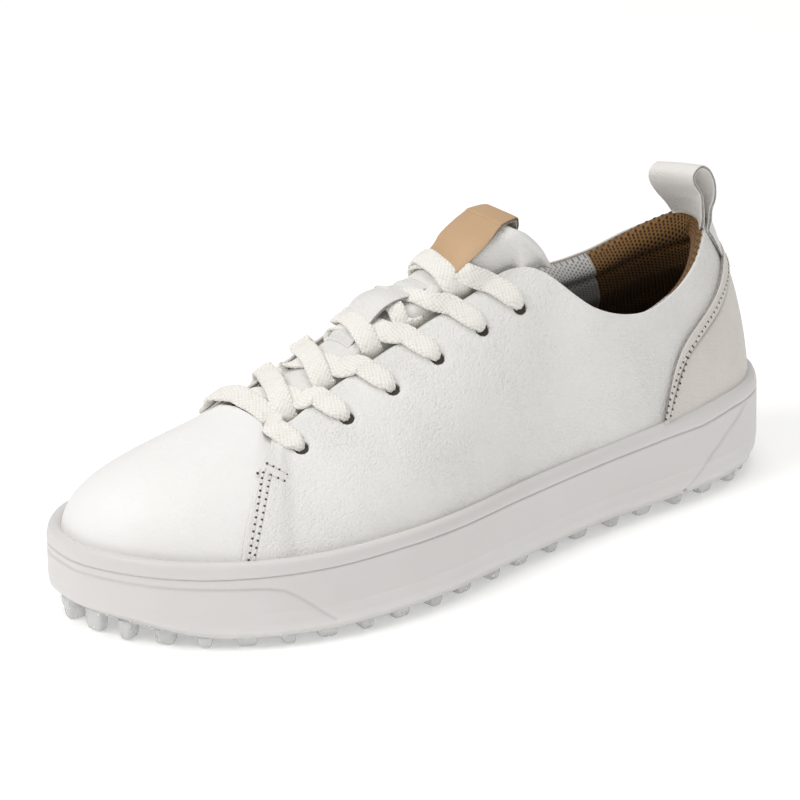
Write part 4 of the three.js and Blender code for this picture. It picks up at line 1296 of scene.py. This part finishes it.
KNIT_PITCH = 1.45


def lining(name, u_steps, v_steps, outer, inner, materials, nodes, depth):
    """A padded lining from the outer depth to the inner one; its face is knitted and rolls over the heel."""
    u, v = np.meshgrid(u_steps, v_steps, indexing="ij")
    face = skin_at(u, v, -inner(u, v))
    relief = knit_relief(face, KNIT_PITCH)
    shown = skin_at(u, v, -inner(u, v) + depth * (1 - relief))
    roll = smoothstep((v - 0.86) / 0.08) * (1 - smoothstep((from_heel(u) - 0.8) / 2.2))
    shown[..., 2] += 2.6 * roll
    back = skin_at(u, v, -outer(u, v))
    made = shell(name, shown, back, materials, "shoe", relief=relief)
    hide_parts(*nodes)
    return made


def collar_depth(u, v):
    """How far the heel lining's face stands in from the leather: a tucked crease under a plump roll."""
    fade = 1 - smoothstep((from_heel(u) - 4.2) / 2.2)
    roll = smoothstep((v - 0.5) / 0.2)
    crease = 2.0 * np.exp(-(((v - 0.845) / 0.02) ** 2))
    plump = np.sin(math.pi * np.clip((v - 0.85) / 0.13, 0, 1))
    depth = 3.4 + fade * (4.6 * roll - crease + plump)
    end = np.clip((v - 0.9) / 0.085, 0, 1)
    return 1.5 + (depth - 1.5) * np.sqrt(np.maximum(1 - end**2, 0.0))


def add_linings(brown, grey, edge):
    dense_v = np.unique(np.concatenate([np.linspace(0, 0.4, 10), np.linspace(0.4, 0.985, 118)]))
    heel = lining(
        "heel_lining_pad", np.linspace(-2.96, 2.96, 400), dense_v, lambda u, v: 1.32 + 0 * u, collar_depth,
        [brown, edge, edge], ("heel_lining", "collar_foam", "heel_counter"), 0.34)
    ends = ((2.98, 8.6, 260), (8.8, 24.4, 60), (24.5, 30.02, 260))
    u = np.concatenate([np.linspace(*span) for span in ends])
    front = lining(
        "front_lining_mesh", u, dense_v, lambda u, v: np.minimum(2.5, collar_depth(u, v) - 0.5), collar_depth,
        [grey, edge, edge], ("front_lining",), 0.3)


# ---------------------------------------------------------------- the materials
WHITE = leather("white_full_grain", (0.86, 0.85, 0.83), (0.80, 0.785, 0.76))
TOE_WHITE = leather("white_toe_leather", (0.90, 0.895, 0.885), (0.85, 0.84, 0.825), 0.2)
GREY = leather("grey_full_grain", (0.76, 0.72, 0.675), (0.69, 0.65, 0.605), 0.26)
GREY_LIGHT = leather("grey_strip", (0.84, 0.82, 0.79), (0.78, 0.76, 0.73), 0.25)
TAN = leather("tan_strap", (0.60, 0.40, 0.235), (0.53, 0.345, 0.195), 0.14, 0.55)
WHITE_CUT = cut_edge("white_cut_edge", (0.80, 0.77, 0.72), (0.55, 0.52, 0.48))
GREY_CUT = cut_edge("grey_cut_edge", (0.50, 0.48, 0.46), (0.2, 0.19, 0.19))
TAN_CUT = cut_edge("tan_cut_edge", (0.34, 0.28, 0.22), (0.07, 0.055, 0.045))
SUEDE = dull("flesh_side", (0.72, 0.68, 0.61), (0.60, 0.56, 0.50))
BACKING = dull("backing_cloth", (0.66, 0.58, 0.46), (0.50, 0.43, 0.33))
MOULDED = moulded("cup_rubber", (0.72, 0.705, 0.695), (0.68, 0.66, 0.65))
CLEAR = clear_rubber("clear_rubber")
THREAD = thread("white_thread", (0.90, 0.89, 0.87), (0.70, 0.68, 0.64))
GREY_THREAD = thread("grey_thread", (0.84, 0.82, 0.79), (0.6, 0.57, 0.54))
# Painted shade: the needle holes are near-black stubs at each stitch's end.
NEEDLE_HOLE_SHADE = dull("needle_hole_shade", (0.13, 0.12, 0.11), (0.06, 0.055, 0.05))
SOCK = dull("sock_cloth", (0.10, 0.065, 0.035), (0.05, 0.033, 0.02), 1.6, 0.2)
# The last colour of each knit is painted shade, for its holes and its low parts.
BROWN_KNIT = knit("brown_knit", (0.30, 0.155, 0.045), (0.15, 0.075, 0.025), (0.022, 0.011, 0.005))
GREY_KNIT = knit("grey_knit", (0.62, 0.61, 0.60), (0.50, 0.49, 0.48), (0.16, 0.155, 0.15))
LACE = woven_lace("lace_cotton")
FILM = moulded("aglet_film_clear", (0.86, 0.85, 0.83), (0.80, 0.79, 0.77), 0.25)

# ---------------------------------------------------------------- the upper's panels and seams
def toe_where(a, b):
    return lerp(seam_outer(b) - LAP, seam_inner(b) + LAP, a), b


def add_toe_box():
    made = skin_panel(
        "toe_box", np.linspace(0, 1, 200), steps(84, 75, False, True), toe_where, -LEATHER, 0.0,
        [TOE_WHITE, SUEDE, WHITE_CUT], (0, 0, 0, 1), (0.5, 0.3),
        lambda u, v, flat, distance: (0 * u, {"smooth": 0.6 + 0 * u}))
    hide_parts("vamp", "toe_puff")


INNER_FRONT = [mirrored_front(row) for row in FRONT_STITCHES_OUTER]
# Where the inner quarter starts, just short of the heel's middle.
INNER_BACK = 32.98


def lowered(u, v):
    """The outer eyestay's edge lies a little lower than the inner one's."""
    fall = 0.024 * smoothstep((u - 7.2) / 1.2) + 0.03 * smoothstep((u - 12.4) / 0.6)
    return u, v * (1 - fall)


def add_quarters():
    end_outer, end_inner = seam_outer(EYELET_V) - 0.02, INNER_BACK - seam_inner(EYELET_V)
    outer = quarter(
        "quarter_outer_panel", lambda a, b: lowered(lerp(0.02, seam_outer(b), a), b), lift_outer,
        (EYELETS_OUTER - 0.02) / end_outer, FRONT_STITCHES_OUTER, [WHITE, SUEDE, WHITE_CUT], 330)
    inner = quarter(
        "quarter_inner_panel", lambda a, b: (lerp(INNER_BACK, seam_inner(b), a), b), lift_inner,
        (INNER_BACK - EYELETS_INNER) / end_inner, INNER_FRONT, [WHITE, SUEDE, WHITE_CUT], 320)
    for side, made in (("outer", outer), ("inner", inner)):
        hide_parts(f"quarter_{side}")


def add_eyestays():
    for side, first, last in (("outer", 6.65, 12.9), ("inner", 20.1, 26.35)):
        made = skin_panel(
            f"eyestay_lining_{side}", steps(150, 125), steps(44, 35),
            lambda a, b, f=first, l=last: (lerp(f, l, a), lerp(0.52, 0.985, b)), -2.45, -1.35,
            [SUEDE, BACKING, WHITE_CUT], (1, 1, 1, 1), (0.25, 0.25))
        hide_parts(f"eyestay_backing_{side}")


def heel_where(a, b):
    even = 2 * a - 1
    u = HEEL_REACH * lerp(even, np.sin(even * math.pi / 2), 0.8)
    return u, b * heel_top(u)


def heel_face(u, v, flat, distance):
    """A raised strip runs along the heel panel's edge, with a sunken seam inside it whose groove is darkened
    with painted shade.
    """
    strip = 1 - smoothstep((distance - 4.6) / 0.7)
    seam = np.exp(-(((distance - 5.3) / 0.55) ** 2))
    # Painted shade: the seam's groove is darkened a little.
    return 0.5 * strip - 0.45 * seam, {"mark": 0.35 * seam, "smooth": 0.5 * strip}


def add_heel_overlay():
    seam_steps = 1 - np.linspace(3.6, 6.6, 14) / 68
    made = skin_panel(
        "heel_overlay", steps(330, 200), steps(110, 68, False, True, seam_steps), heel_where,
        0.4, 1.6, [GREY, SUEDE, GREY_CUT], (1, 1, 0, 1), (0.5, 0.2), heel_face)
    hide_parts("heel_panel")


def add_stitches():
    heel_rows = HEEL_STITCHES + [[(-u, v) for u, v in row] for row in HEEL_STITCHES]
    for name, rows, height, thread_material, slot in (
        ("front_outer", FRONT_STITCHES_OUTER, lambda u, v: lift_outer(u, v) - 0.12, THREAD, "white_leather"),
        ("front_inner", INNER_FRONT, lambda u, v: lift_inner(u, v) - 0.12, THREAD, "white_leather"),
        ("heel", heel_rows, lambda u, v: 2.2 + 0 * u, GREY_THREAD, "grey_leather"),
    ):
        made = stitches(f"stitches_{name}", rows, height, [thread_material, NEEDLE_HOLE_SHADE])


FLOOR_REACH = 6
FLOOR_Z = -0.0004


def add_floor():
    s = Shader("pale_floor", 0.8, 0.1)
    tone = s.mix(s.noise(0.004, 2), (0.93, 0.93, 0.93), (0.95, 0.95, 0.95))
    s.put(s.bsdf.inputs["Emission Color"], (1.0, 1.0, 1.0))
    s.bsdf.inputs["Emission Strength"].default_value = 0.27
    material = s.done(tone)
    mesh = bpy.data.meshes.new("floor")
    corners = [(x * FLOOR_REACH, y * FLOOR_REACH, FLOOR_Z) for x, y in ((-1, -1), (1, -1), (1, 1), (-1, 1))]
    mesh.from_pydata(corners, [], [(0, 1, 2, 3)])
    mesh.materials.append(material)
    floor = bpy.data.objects.new("floor", mesh)
    bpy.context.scene.collection.objects.link(floor)


# ---------------------------------------------------------------- everything in its place
add_camera()
add_cup(MOULDED)
add_outsole(CLEAR)
add_sockliner(SOCK)
add_toe_box()
add_quarters()
add_eyestays()
add_heel_overlay()
add_stitches()
add_linings(BROWN_KNIT, GREY_KNIT, SUEDE)
add_tongue([WHITE, GREY_KNIT, WHITE_CUT])
add_label([TAN, SUEDE, TAN_CUT])
add_keeper([WHITE, SUEDE, GREY_CUT])
add_pull_tab([GREY_LIGHT, GREY_LIGHT, GREY_CUT])
add_lace(LACE)
add_aglets(FILM)

add_floor()
add_world(0.46, (1.0, 0.995, 0.985))
add_light("key", (1.1, -0.15, 1.35), (0.8, 0.8), 11, (1, 0.99, 0.975), (0.05, 0, 0.05))
add_light("overhead", (-0.1, 0.1, 1.7), (1.0, 1.0), 7, (1, 0.995, 0.985), (0, 0, 0.05))
add_light("front_fill", (0.9, 1.4, 0.7), (1.0, 0.8), 1.2, (0.97, 0.985, 1), (0, 0, 0.05))
bpy.context.scene.view_settings.view_transform = "Standard"
